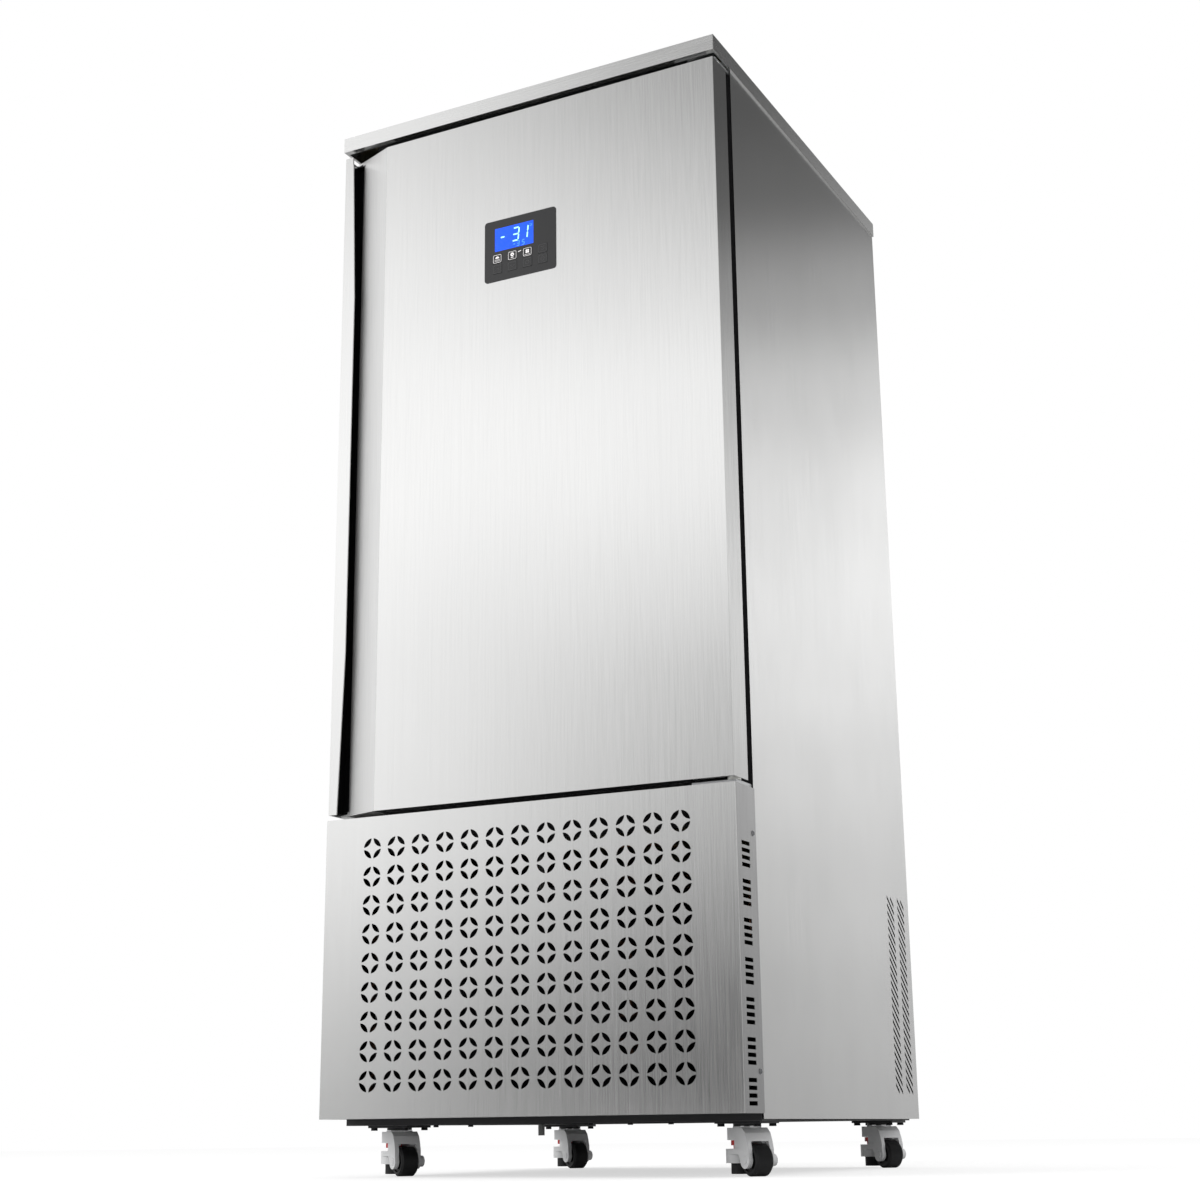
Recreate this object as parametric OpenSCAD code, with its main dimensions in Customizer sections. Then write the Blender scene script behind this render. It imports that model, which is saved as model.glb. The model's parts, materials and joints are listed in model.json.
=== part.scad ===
// Reach-in blast chiller on levelling casters.
// Frame: floor at z = 0, centred in x and y, door facing -y, +z up. Millimetres.

/* [Cabinet] */
// Overall width, over the top cover
body_w = 800; // [780:5:900]
// Overall depth, from the cover's nose to the rear edges
body_d = 857; // [820:1:950]
// Floor to the underside of the base frame
caster_h = 86; // [86:1:110]
// Height of the base frame's edge
frame_h = 11; // [10:1:20]
// Height of the lower grille panel
grille_h = 518; // [500:2:620]
// Gap between the grille panel and the door
gap_low = 10; // [9:0.5:14]
// Gap between the door and the top cover
gap_top = 13; // [11:0.5:18]
// Height of the top cover
cover_h = 30; // [28:1:45]
// How far the cover's nose stands in front of the door
cover_nose = 2; // [1.5:0.5:6]
// How far the grille panel sits in from the cover on each side
panel_step = 1.5; // [1.5:0.5:3]
// How far the side panels sit in from the grille panel on each side
side_step = 2; // [1.6:0.1:3]
// How far the side panels reach below the grille panel
side_drop = 8.5; // [0:0.5:10]
// Thickness of the outer sheet metal
skin_t = 1.5; // [1:0.1:1.6]
// How far the back panel is set in from the rear edges
back_inset = 14; // [10:1:25]
// Width of the bottom return along the cover's front
cover_return = 12; // [8:1:20]

/* [Cold room] */
// Insulation thickness at the sides and the rear
wall_t = 60; // [50:1:64]
// Insulation thickness of the floor
floor_t = 68; // [50:1:80]
// Insulation thickness of the roof
roof_t = 60; // [50:1:80]
// Thickness of the inner liner
liner_t = 1.2; // [0.8:0.1:2]
// Thickness of the front frame plate round the opening
rim_t = 3; // [2:0.5:5]
// Height of the front frame above the side panels, inside the cover
rim_up = 22; // [20:1:24]
// Depth of the front frame's apron below the insulation
apron_h = 46; // [42:1:60]
// Thickness of the insulated floor's overlap on the grille panel
floor_lap = 8; // [4:1:10]

/* [Door] */
// Height of the door
door_h = 1309; // [1280:1:1400]
// Thickness of the door
door_t = 58; // [50:1:70]
// How far the door sits in from the cover on each side
door_step = 2.5; // [2:0.5:6]
// Space between the door and the front frame, filled by the gasket
seal_t = 23; // [20:0.5:26]
// How far the gasket sits in from the door's edge
seal_inset = 12; // [12:1:20]
// Width of the gasket
seal_w = 22; // [16:1:26]
// Gap left by the relaxed gasket
seal_gap = 0.5; // [0.4:0.1:1]
// Depth of the groove round the gasket's bellows
bellows_d = 3; // [1:0.5:5]
// Height of the door liner's raised plug
plug_h = 14; // [8:1:18]
// Gap between the plug and the gasket
plug_gap = 6; // [4:1:10]

/* [Door pull] */
// Width of the pull's slanted face
ramp_w = 70; // [60:1:72]
// Slope of the pull's slanted face
ramp_angle = 20.8; // [15:0.2:24]
// Radius where the slanted face rolls into the pocket
roll_r = 17; // [14:1:19]
// Width of the finger pocket behind the lip
pocket_w = 19.5; // [18:0.5:26]
// Depth of the finger pocket from the door's face
pocket_d = 46; // [42:0.5:47]
// Thickness of the blocks that close the pocket's ends
pocket_end = 8; // [5:1:20]
// Thickness of the pull's side wall
pull_t = 3; // [2:0.5:4]
// Thickness of the pull's front lip
lip_t = 2.5; // [2:0.5:4]
// How far the lip sits behind the door's face
lip_set = 2; // [1:0.5:4]
// Width of the lip at its top and bottom
lip_w_end = 17; // [14:1:22]
// Width of the lip at mid height
lip_w_mid = 27; // [22:1:30]
// Height over which the lip widens
lip_taper = 300; // [150:10:500]

/* [Hinges] */
// Diameter of the hinge pins
hinge_pin_d = 10; // [8:0.5:12]
// Diametral running clearance on pins and axles
run_fit = 0.1; // [0.04:0.02:0.2]
// Distance of the hinge axis from the door's edge
hinge_in = 12; // [12:0.5:15]
// Distance of the hinge axis behind the door's face
hinge_back = 29; // [20:1:34]
// Length of a hinge pin
pin_len = 21; // [16:1:30]
// Thickness of the hinge brackets
bracket_t = 5; // [4:0.5:6]
// Width of the hinge brackets
bracket_w = 80; // [50:1:100]
// Height of a bracket's screwed leaf
bracket_leaf_h = 28; // [26:1:34]
// Gap between the lower bracket and the grille panel
bracket_gap = 1.5; // [1:0.5:2]
// Outer diameter of the nylon hinge bushes
bush_d = 18; // [15:1:22]
// Diameter of the bush flanges
bush_flange_d = 22; // [20:1:23]
// Play between a bush flange and its bracket
bush_play = 0.3; // [0.2:0.1:0.5]

/* [Grille panel] */
// Columns of cut-out motifs
motif_cols = 13; // [11:1:14]
// Rows of cut-out motifs
motif_rows = 9; // [5:1:9]
// Distance between motifs
motif_pitch = 50; // [42:0.5:51]
// Radius of a motif
motif_r = 18; // [12:0.5:19]
// Width of the bars between a motif's petals
motif_bar = 4; // [2:0.5:6]
// Distance of the petals from the motif's centre
petal_in = 9.5; // [8:0.5:11]
// Height of the lowest row's centre above the panel's bottom
motif_low = 61.5; // [40:0.5:90]
// Groups of side slots
slot_groups = 7; // [3:1:7]
// Slots in a group
slot_count = 4; // [2:1:4]
// Distance between groups
slot_group_pitch = 62; // [58:1:64]
// Distance between slots in a group
slot_pitch = 11.8; // [10:0.2:14]
// Length of a side slot
slot_len = 33; // [20:1:34]
// Height of a side slot
slot_h = 6.7; // [4:0.1:8]
// Height of the lowest group's centre above the panel's bottom
slot_low = 32.5; // [30:0.5:50]
// Distance of the side slots behind the panel's face
slot_back = 20; // [16:1:21]
// How far the side panels tuck in under the grille panel
tuck = 24; // [18:1:26]
// Depth of the panel's top and bottom returns
grille_return = 18; // [10:1:30]

/* [Side louvres] */
// Strokes in a louvre band
louvre_count = 24; // [8:1:25]
// Distance between strokes
louvre_pitch = 14.6; // [12:0.1:16]
// Depth of a louvre band
louvre_w = 38; // [30:1:39]
// Height of a stroke, top end to bottom end
louvre_drop = 30; // [20:1:40]
// Thickness of a stroke
louvre_t = 6.5; // [3:0.5:7]
// Distance between the two bands
louvre_band = 60; // [50:1:62]
// Distance of the rear band's back edge from the rear
louvre_back = 28; // [20:1:60]
// Height of the lowest stroke above the panel's bottom
louvre_low = 42; // [30:1:60]

/* [Control panel] */
// Width of the control panel
ctrl_w = 151; // [148:1:170]
// Height of the control panel
ctrl_h = 123; // [118:1:140]
// Distance of its centre below the door's top
ctrl_drop = 280; // [150:1:500]
// Corner radius of the control panel
ctrl_r = 6; // [2:0.5:8]
// How far the control panel stands out of the door
ctrl_proud = 1.2; // [0.8:0.1:1.4]
// Depth of the control housing behind the face
ctrl_depth = 24; // [22:1:36]
// Width of the ledge round the control housing
ctrl_ledge = 5; // [3:0.5:6]
// Wall of the control housing
ctrl_wall = 2; // [1.5:0.1:3]
// Width of the display window
lcd_w = 82; // [70:1:84]
// Height of the display window
lcd_h = 46.5; // [40:0.5:48]
// Shift of the display from the panel's centre
lcd_shift = -12.4; // [-16:0.2:-4]
// Distance of the display's centre above the panel's centre
lcd_rise = 21.3; // [20:0.1:24]
// Thickness of the display glass and module
lcd_t = 6; // [4:0.5:8]
// Thickness of the circuit board
board_t = 1.6; // [1:0.1:2]
// Distance of the circuit board behind the door's face
board_back = 10; // [9.4:0.1:12]
// Width of a key
key_w = 19; // [14:0.5:22]
// Height of a key
key_h = 17.6; // [14:0.2:18]
// Distance between key columns
key_dx = 32; // [28:0.5:32]
// Distance between key rows
key_dz = 21; // [20.4:0.1:22]
// Distance of the top key row below the panel's centre
key_low = 17; // [15:0.5:18]
// Travel of a key
key_travel = 0.5; // [0.3:0.05:0.6]
// Gap round a key
key_gap = 0.35; // [0.3:0.05:0.5]
// How far a key stands out of its panel
key_proud = 0.6; // [0.6:0.1:0.7]
// Rim behind the panel that keeps a key in
key_rim = 0.9; // [0.6:0.1:1]

/* [Trays] */
// Height between tray levels
tray_pitch = 76; // [60:1:78]
// Least space above the top runner
tray_top = 60; // [40:1:75]
// Distance of the runners behind the front frame
ledge_front = 41.3; // [20:0.1:60]
// Distance of the runners in front of the fan baffle
ledge_back = 40; // [20:1:60]
// Width of a tray runner
ledge_w = 18; // [12:1:24]
// Thickness of a tray runner
ledge_t = 2; // [1.5:0.1:3]
// Height of a runner's side leg
ledge_leg = 12; // [8:1:16]
// Height of the lowest runner above the cold room floor
tray_low = 70; // [60:1:80]
// Width of a rack post
post_w = 25; // [20:1:40]
// Thickness of a rack post
post_t = 3; // [2:0.5:4]
// Distance of a post from the runners' ends
post_in = 40; // [20:1:80]
// Diameter of the pegs that hold the posts
peg_d = 12; // [8:1:16]
// Length of the pegs between the posts and the liner
peg_len = 25.8; // [15:0.2:40]

/* [Evaporator] */
// Depth of the evaporator coil
evap_d = 110; // [80:1:120]
// Space beside the evaporator coil for its pipes
evap_side = 110.6; // [100:0.2:160]
// Space between the coil's tube bends and the liner
evap_end = 12; // [6:1:60]
// Space above the evaporator coil
evap_top = 79.6; // [40:0.2:160]
// Height of the evaporator coil above the cold room floor
evap_low = 70; // [60:1:90]
// Distance from the baffle to the evaporator coil
plenum_d = 86; // [84:1:100]
// Thickness of the fan baffle
baffle_t = 2; // [1:0.5:3]
// Depth of the baffle's side flanges
baffle_flange = 20; // [12:1:40]
// Air gap above and below the baffle
baffle_gap = 60; // [40:1:90]
// Distance of the outer fans' centres from the baffle's ends
fan_end = 196; // [160:1:250]
// Outer diameter of the evaporator fan blades
evap_fan_d = 240; // [180:5:260]

/* [Machine room] */
// Width of the condenser coil
cond_w = 480; // [420:5:500]
// Height of the condenser coil
cond_h = 380; // [360:5:390]
// Depth of the condenser coil
cond_d = 66; // [40:1:80]
// Distance of the condenser coil behind the grille panel's face
cond_back = 95; // [90:1:110]
// Space between the condenser coil and the left side panel
cond_side = 45; // [30:1:60]
// Depth of the fan shroud
shroud_d = 40; // [36:1:50]
// Outer diameter of the condenser fan blades
cond_fan_d = 300; // [240:5:320]
// Clearance between a fan's blades and its ring
fan_gap = 6; // [4:0.5:10]
// Diameter of the tubes in the coils
coil_tube_d = 10; // [7:0.5:12]
// Distance between the tubes in the coils
coil_tube_pitch = 40; // [30:1:60]
// Diameter of the compressor shell
comp_d = 210; // [160:5:220]
// Height of the compressor shell
comp_h = 300; // [240:5:340]
// Space between the compressor and the right side panel
comp_side = 60; // [40:1:80]
// Place of the compressor behind the cabinet's centre
comp_y = 120; // [80:1:160]
// Diameter of the liquid receiver
recv_d = 110; // [80:2:120]
// Height of the liquid receiver
recv_h = 280; // [200:5:320]
// Diameter of the discharge and liquid lines
pipe_d = 10; // [8:0.5:12]
// Diameter of the suction line
suction_d = 18; // [14:0.5:20]
// Diameter of the drain tube
drain_d = 12; // [10:0.5:20]
// Length of the drain tube below the base frame
drain_drop = 20; // [10:1:50]
// Width of the electrical box
ebox_w = 130; // [110:1:140]
// Depth of the electrical box
ebox_d = 150; // [120:1:170]
// Height of the electrical box
ebox_h = 240; // [200:5:300]
// Diameter of the cord gland
gland_d = 22; // [16:1:26]

/* [Casters] */
// Distance of the swivels from the cover's sides
caster_in = 65; // [55:1:100]
// Distance of the front swivels behind the cover's nose
caster_front = 158; // [120:1:200]
// Distance of the rear swivels from the rear edges
caster_rear = 59; // [58:1:120]
// Direction in which the wheels trail
caster_angle = -34; // [-90:1:90]
// Side of the square top plate
plate_w = 80; // [78:1:80]
// Thickness of the top plate
plate_t = 4; // [3:0.5:5]
// Height of the swivel race
race_h = 4; // [3:0.5:5]
// Diameter of the swivel race
race_d = 44; // [36:1:48]
// Diameter of the swivel pin
king_d = 10; // [8:0.5:10]
// Distance between a plate's bolts
bolt_pitch = 64; // [62:1:65]
// Diameter of a caster wheel
wheel_d = 50; // [44:1:50]
// Width of a caster wheel
wheel_w = 32; // [26:1:34]
// Distance of the wheel's axle from the swivel axis
wheel_x = 28; // [27:0.5:30]
// Diameter of the wheel's axle
axle_d = 8; // [6:0.5:10]
// Side clearance of the wheel
wheel_gap = 1; // [0.5:0.1:2]
// Thickness of a caster's cheeks
cheek_t = 7.5; // [5:0.5:8]
// Diameter of the levelling pad
pad_d = 31; // [26:1:31]
// Thickness of the levelling pad
pad_h = 16; // [10:1:16]
// Height of the raised pad above the floor
pad_lift = 4; // [2:0.5:4]
// Distance of the pad from the swivel axis
pad_x = 22; // [20:0.5:23]
// Diameter of the pad's threaded stem
stem_d = 12; // [8:0.5:12]
// Diameter of the thumbwheel
thumb_d = 30; // [28:1:31]
// Thickness of the thumbwheel
thumb_h = 13; // [11:0.5:14]

/* [Hidden] */
$fn = 64;
eps = 1;

// Main planes of the cabinet
front = -body_d / 2;
back = body_d / 2;
face_y = front + cover_nose;
seal_y = face_y + door_t;
side_y = seal_y + seal_t;
half_w = body_w / 2;
panel_x = half_w - panel_step;
skin_x = panel_x - side_step;
inner_x = skin_x - skin_t;
back_y = back - back_inset;
z_deck = caster_h + frame_h;
z_sill = z_deck + grille_h;
z_door = z_sill + gap_low;
z_lintel = z_door + door_h;
z_cover = z_lintel + gap_top;
z_top = z_cover + cover_h;

// Cold room
foam_z = z_sill - floor_lap;
foam_y = side_y + rim_t;
foam_back = back_y - skin_t;
room_x = inner_x - wall_t;
room_y = foam_back - wall_t;
room_z = foam_z + floor_t;
room_top = z_cover - roof_t;
coil_y = room_y - liner_t - evap_d;
baffle_y = coil_y - plenum_d;
clear_x = room_x - liner_t;
clear_z = room_z + liner_t;
clear_top = room_top - liner_t;

// Door, with y counted from the door's face
door_x = half_w - door_step;
pull_x = -door_x + pull_t;
pocket_x = pull_x + pocket_w;
ramp_dir = [cos(ramp_angle), -sin(ramp_angle)];
ramp_in = [sin(ramp_angle), cos(ramp_angle)];
roll_end = 180;
roll_start = 270 - ramp_angle;
roll_c = [pocket_x + roll_r, ramp_w * sin(ramp_angle) + roll_r * cos(ramp_angle)];
ramp_low = roll_c - roll_r * ramp_in;
bend_x = ramp_low[0] + ramp_w * cos(ramp_angle);
ramp_far = ramp_low + (pull_x - ramp_low[0]) / ramp_dir[0] * ramp_dir;
roll_steps = 10;
roll = [for (i = [0 : roll_steps])
    let(a = roll_end + (roll_start - roll_end) * i / roll_steps)
    roll_c + roll_r * [cos(a), sin(a)]];
door_path = concat([[pull_x, door_t], [pull_x, pocket_d], [pocket_x, pocket_d]],
                   roll, [[bend_x, 0], [door_x, 0], [door_x, door_t]]);
hinge_x = door_x - hinge_in;
hinge_y = face_y + hinge_back;
bush_len = pin_len + 2;
seal_x = door_x - seal_inset;
seal_z0 = z_door + seal_inset;
seal_z1 = z_lintel - seal_inset;
ctrl_z = z_lintel - ctrl_drop;
low_bracket_z = z_sill + bracket_gap;
high_bracket_z = z_cover - bracket_t - 4;

// Machine room
cond_x = -inner_x + cond_side + cond_w / 2;
comp_x = inner_x - comp_side - comp_d / 2;
deck_t = 1.5;
deck_z = z_deck + deck_t;
cond_y = face_y + cond_back;
shroud_y = cond_y + cond_d;
cond_z = deck_z + cond_h / 2;
hub_d = 70;
blade_d = 26;
shaft_d = 8;
motor_d = 84;
motor_len = 50;
comp_foot = 14;
comp_base = 3;

// Casters
caster_x = half_w - caster_in;
plate_z = caster_h - plate_t;
race_z = plate_z - race_h;
fork_top = race_z - 0.4;
axle_z = wheel_d / 2;
barrel_z = pad_lift + pad_h + 0.3;
thumb_z = 43;
thumb_gap = 0.4;
stem_top = thumb_z + thumb_h + 4;
king_len = fork_top - wheel_d - 12;
caster_spots = [["front_left", -1, front + caster_front], ["front_right", 1, front + caster_front],
                ["rear_left", -1, back - caster_rear], ["rear_right", 1, back - caster_rear]];

steel = [0.78, 0.79, 0.8];
bright = [0.86, 0.87, 0.88];
black = [0.06, 0.06, 0.07];
dark = [0.2, 0.21, 0.22];
copper = [0.72, 0.43, 0.28];
white = [0.9, 0.9, 0.88];

// ---- shared shapes -------------------------------------------------------

// Box from its lowest to its highest corner
module span(a, b) translate(a) cube(b - a);

// A drawing in y and z, made thick along +x from x0
module along_x(x0, t) translate([x0, 0, 0]) rotate([90, 0, 90]) linear_extrude(t) children();

// A drawing in x and z, made thick along +y from y0
module along_y(y0, t) translate([0, y0 + t, 0]) rotate([90, 0, 0]) linear_extrude(t) children();

// A round bar along y
module rod_y(x, y, z, d, t) translate([x, y, z]) rotate([-90, 0, 0]) cylinder(d = d, h = t);

// A round bar along z
module rod_z(x, y, z, d, t) translate([x, y, z]) cylinder(d = d, h = t);

// Rectangle from corner to corner
module rect(a, b) translate(a) square(b - a);

module rounded(w, h, r) {
    square([w - 2 * r, h], center = true);
    square([w, h - 2 * r], center = true);
    for (x = [-1, 1], y = [-1, 1]) translate([x * (w / 2 - r), y * (h / 2 - r)]) circle(r);
}

function unit(v) = v / norm(v);
function left_of(v) = [-v[1], v[0]];
function heading(p, i) = unit(p[i + 1] - p[i]);
function corner(p, i) =
    let(a = left_of(heading(p, max(i - 1, 0))),
        b = left_of(heading(p, min(i, len(p) - 2))))
    (a + b) / (1 + a * b);
// The same bends, moved in by the sheet's thickness
function inner_path(p, t) = [for (i = [0 : len(p) - 1]) p[i] + t * corner(p, i)];
function reversed(p) = [for (i = [len(p) - 1 : -1 : 0]) p[i]];

// Bent sheet seen along its bends
module bent_sheet(p, t) polygon(concat(p, reversed(inner_path(p, t))));

// Tube through square corners, each an elbow of radius bend
module tube(p, d, bend) {
    last = len(p) - 1;
    for (i = [0 : last - 1]) {
        a = p[i];
        b = p[i + 1];
        u = unit(b - a);
        from = i == 0 ? 0 : bend;
        to = i == last - 1 ? 0 : bend;
        translate(a + from * u)
            rotate([0, acos(u[2]), atan2(u[1], u[0])])
                cylinder(d = d, h = norm(b - a) - from - to);
        if (i > 0) elbow(a, unit(a - p[i - 1]), u, d, bend);
    }
}

module elbow(at, u, v, d, bend) {
    w = cross(u, v);
    c = at - bend * u + bend * v;
    multmatrix([[-v[0], u[0], w[0], c[0]],
                [-v[1], u[1], w[1], c[1]],
                [-v[2], u[2], w[2], c[2]],
                [0, 0, 0, 1]])
        rotate_extrude(angle = 90) translate([bend, 0]) circle(d = d);
}

// ---- base and casters ----------------------------------------------------

base_x = inner_x - 0.5;
base_y0 = side_y - 4;
base_y1 = back_y - 3;
rail_x = base_x - 12;
rail_w = 92;
cross_w = 60;
frame_bolts = [-228, -158, 74, 148, 222];
web_t = 3;

// Open-topped channel rail between two corners
module rail(a, b) {
    difference() {
        span([a[0], a[1], caster_h], [b[0], b[1], z_deck]);
        span([a[0] + web_t, a[1] + web_t, caster_h + web_t], [b[0] - web_t, b[1] - web_t, z_deck + eps]);
    }
}

module base_frame() {
    color(black) difference() {
        union() {
            rail([-base_x, base_y0], [base_x, base_y0 + cross_w]);
            for (x = [-rail_x, rail_x - rail_w])
                rail([x, base_y0 + cross_w - web_t], [x + rail_w, base_y1]);
            for (y = [-cross_w / 2, base_y1 - cross_w])
                rail([-rail_x + rail_w - web_t, y], [rail_x - rail_w + web_t, y + cross_w]);
            span([-inner_x, face_y + grille_return + skin_t, z_deck], [inner_x, foam_back, deck_z]);
        }
        rod_z(drain_x, drain_y, caster_h - eps, drain_d, frame_h + deck_t + 2 * eps);
    }
}

// Places its children at one caster, +x along the trailing wheel
module at_caster(spot) translate([spot[1] * caster_x, spot[2], 0]) rotate(caster_angle) children();

module bolt_spots(spot)
    for (x = [-1, 1], y = [-1, 1])
        translate([spot[1] * caster_x + x * bolt_pitch / 2, spot[2] + y * bolt_pitch / 2, 0]) children();

module caster_plates() {
    color(dark) for (spot = caster_spots) {
        difference() {
            translate([spot[1] * caster_x - plate_w / 2, spot[2] - plate_w / 2, plate_z])
                cube([plate_w, plate_w, plate_t]);
            bolt_spots(spot) translate([0, 0, plate_z - eps]) cylinder(d = 8, h = plate_t + 2 * eps);
        }
        translate([spot[1] * caster_x, spot[2], 0]) {
            translate([0, 0, race_z]) cylinder(d = race_d, h = race_h);
            translate([0, 0, fork_top - king_len]) cylinder(d = king_d, h = king_len + 0.4);
        }
    }
}

cheek_y = wheel_w / 2 + wheel_gap;
cheek_out = cheek_y + cheek_t;
lobe_r = 13;
barrel_d = 47;
collar_d = 38;
head_d = 46;
head_h = 2;
cap_d = 19;
cap_len = 8;
axle_out = 1.5;
web_y = 15;
window_x = wheel_x - 14;

// Side view of the arch and cheeks over the wheel
module fork_outline() {
    z1 = fork_top - head_h;
    polygon([[-pad_x, z1], [wheel_x - 6, z1], [wheel_x + 3, z1 - 8], [wheel_x + 8, z1 - 20],
             [wheel_x + 11.5, z1 - 33], [wheel_x + 11.5, axle_z + 9], [wheel_x + lobe_r, axle_z],
             [wheel_x - lobe_r, axle_z], [wheel_x - 18, axle_z + 9], [-pad_x, axle_z + 9]]);
    translate([wheel_x, axle_z]) circle(lobe_r);
}

module fork_part() {
    window_z0 = thumb_z - thumb_gap;
    window_z1 = thumb_z + thumb_h + thumb_gap;
    color(white) {
        difference() {
            union() {
                along_y(-cheek_out, 2 * cheek_out) fork_outline();
                rod_z(-pad_x, 0, barrel_z, barrel_d, thumb_z - barrel_z);
                rod_z(-pad_x, 0, thumb_z, collar_d, fork_top - head_h - thumb_z);
                rod_z(0, 0, fork_top - head_h - eps, head_d, head_h + eps);
            }
            // wheel pocket, open to the front and below
            along_y(-cheek_y, 2 * cheek_y) {
                translate([wheel_x, axle_z]) circle(d = wheel_d + 4);
                rect([wheel_x, -eps], [wheel_x + 60, axle_z + wheel_d / 2 + 4.5]);
            }
            // thumbwheel chamber, its windows and its opening into the wheel pocket
            rod_z(-pad_x, 0, window_z0, thumb_d + 2, window_z1 - window_z0);
            span([-pad_x - barrel_d, -barrel_d, window_z0], [-pad_x, barrel_d, window_z1]);
            for (y = [-barrel_d, web_y])
                span([-pad_x - eps, y, window_z0], [window_x, y + barrel_d - web_y, window_z1]);
            span([-pad_x, -9, thumb_z + 5], [wheel_x, 9, window_z1]);
            // stem guide and swivel pin bore
            rod_z(-pad_x, 0, barrel_z - eps, stem_d + run_fit, stem_top + 0.5 - barrel_z + eps);
            rod_z(0, 0, fork_top - king_len - 0.5, king_d + run_fit, king_len + 2);
        }
        rod_y(wheel_x, -cheek_out - axle_out, axle_z, axle_d, 2 * cheek_out + axle_out + eps);
        rod_y(wheel_x, cheek_out, axle_z, cap_d, cap_len);
    }
}

module wheel_part() {
    chamfer = 3;
    color(black) translate([wheel_x, wheel_w / 2, axle_z]) rotate([90, 0, 0]) difference() {
        union() {
            cylinder(d1 = wheel_d - 2 * chamfer, d2 = wheel_d, h = chamfer);
            translate([0, 0, chamfer]) cylinder(d = wheel_d, h = wheel_w - 2 * chamfer);
            translate([0, 0, wheel_w - chamfer])
                cylinder(d1 = wheel_d, d2 = wheel_d - 2 * chamfer, h = chamfer);
        }
        translate([0, 0, -eps]) cylinder(d = axle_d + run_fit, h = wheel_w + 2 * eps);
        for (z = [-eps, wheel_w - 3]) translate([0, 0, z]) difference() {
            cylinder(d = wheel_d - 14, h = 3 + eps);
            translate([0, 0, -eps]) cylinder(d = axle_d + 8, h = 3 + 3 * eps);
        }
    }
}

module thumb_part() {
    notches = 12;
    thumb_rim = 8;
    color("crimson") difference() {
        union() {
            rod_z(-pad_x, 0, thumb_z + thumb_h - thumb_rim, thumb_d, thumb_rim);
            rod_z(-pad_x, 0, thumb_z, thumb_d - 8, thumb_h);
        }
        rod_z(-pad_x, 0, thumb_z - eps, stem_d + run_fit, thumb_h + 2 * eps);
        for (i = [0 : notches - 1]) translate([-pad_x, 0, 0]) rotate(i * 360 / notches)
            rod_z(thumb_d / 2 + 1, 0, thumb_z - eps, 5, thumb_h + 2 * eps);
    }
}

module foot_part() {
    color(dark) {
        rod_z(-pad_x, 0, pad_lift, pad_d, pad_h);
        rod_z(-pad_x, 0, pad_lift + pad_h - eps, stem_d, stem_top - pad_lift - pad_h + eps);
    }
}

// ---- outer panels --------------------------------------------------------

// One slanted louvre stroke, given its top front corner and its share of the full length
module stroke(y, z, share0, share1) {
    y0 = y + louvre_w * share0;
    y1 = y + louvre_w * share1;
    z0 = z - louvre_drop * share0;
    z1 = z - louvre_drop * share1;
    polygon([[y0, z0], [y1, z1], [y1, z1 - louvre_t], [y0, z0 - louvre_t]]);
}

module louvres() {
    for (band = [0, 1]) {
        y = back - louvre_back - louvre_w - band * louvre_band;
        z = z_deck + louvre_low;
        for (i = [0 : louvre_count - 1]) stroke(y, z + louvre_drop + i * louvre_pitch, 0, 1);
        stroke(y, z + louvre_drop + louvre_count * louvre_pitch, 0.52, 1);
        stroke(y, z + louvre_drop - louvre_pitch, 0, 0.48);
    }
}

module side_panel(x0) {
    color(steel) along_x(x0, skin_t) difference() {
        union() {
            rect([side_y, z_deck - side_drop], [back, z_cover]);
            rect([side_y - tuck, z_deck + skin_t], [side_y + eps, z_sill - skin_t]);
        }
        louvres();
    }
}

module side_panel_left() side_panel(-skin_x);
module side_panel_right() side_panel(inner_x);

module back_panel() {
    vent_w = 60;
    vent_h = 6;
    vent_dx = 110;
    vent_dz = 18;
    vent_x = 40;
    vent_z = z_deck + 170;
    color(steel) difference() {
        span([-inner_x, foam_back, z_deck], [inner_x, back_y, z_cover]);
        for (col = [-2 : 2], row = [0 : 13])
            translate([vent_x + col * vent_dx, foam_back - eps, vent_z + row * vent_dz])
                cube([vent_w, skin_t + 2 * eps, vent_h]);
        rod_y(gland_x, foam_back - eps, gland_z, gland_d - 4, skin_t + 2 * eps);
    }
}

module top_cover() {
    t = skin_t;
    color(bright) {
        difference() {
            span([-half_w, front, z_cover], [half_w, back, z_top]);
            span([-half_w + t, front + t, z_cover + t], [half_w - t, back - t, z_top - t]);
            span([-inner_x, front + cover_return, z_cover - eps],
                 [inner_x, foam_back, z_cover + t + eps]);
        }
    }
}

// Four petals left between a disc and four discs of the same family
module motif() {
    tip = sqrt(motif_r * motif_r - motif_bar * motif_bar / 4);
    near = petal_in / sqrt(2);
    lens_c = ((motif_bar * motif_bar / 4 + tip * tip) - 2 * near * near) / (motif_bar + 2 * tip - 4 * near);
    lens_r = (lens_c - near) * sqrt(2);
    for (a = [0 : 90 : 270]) rotate(a) intersection() {
        circle(motif_r);
        translate([lens_c, lens_c]) circle(lens_r);
    }
}

module grille_panel() {
    t = skin_t;
    first_x = -(motif_cols - 1) * motif_pitch / 2;
    color(steel) {
        along_y(face_y, t) difference() {
            rect([-panel_x, z_deck], [panel_x, z_sill]);
            for (col = [0 : motif_cols - 1], row = [0 : motif_rows - 1])
                translate([first_x + col * motif_pitch, z_deck + motif_low + row * motif_pitch]) motif();
        }
        for (x0 = [-panel_x, panel_x - t]) along_x(x0, t) difference() {
            rect([face_y, z_deck], [side_y, z_sill]);
            for (g = [0 : slot_groups - 1], i = [0 : slot_count - 1])
                translate([face_y + slot_back, z_deck + slot_low + g * slot_group_pitch
                           + (i - (slot_count - 1) / 2) * slot_pitch - slot_h / 2])
                    square([slot_len, slot_h]);
            for (z = screw_z) translate([side_y - tuck / 2, z]) circle(d = 4);
        }
        for (z = [z_deck, z_sill - t])
            span([-panel_x, face_y, z], [panel_x, face_y + grille_return, z + t]);
    }
}

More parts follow.
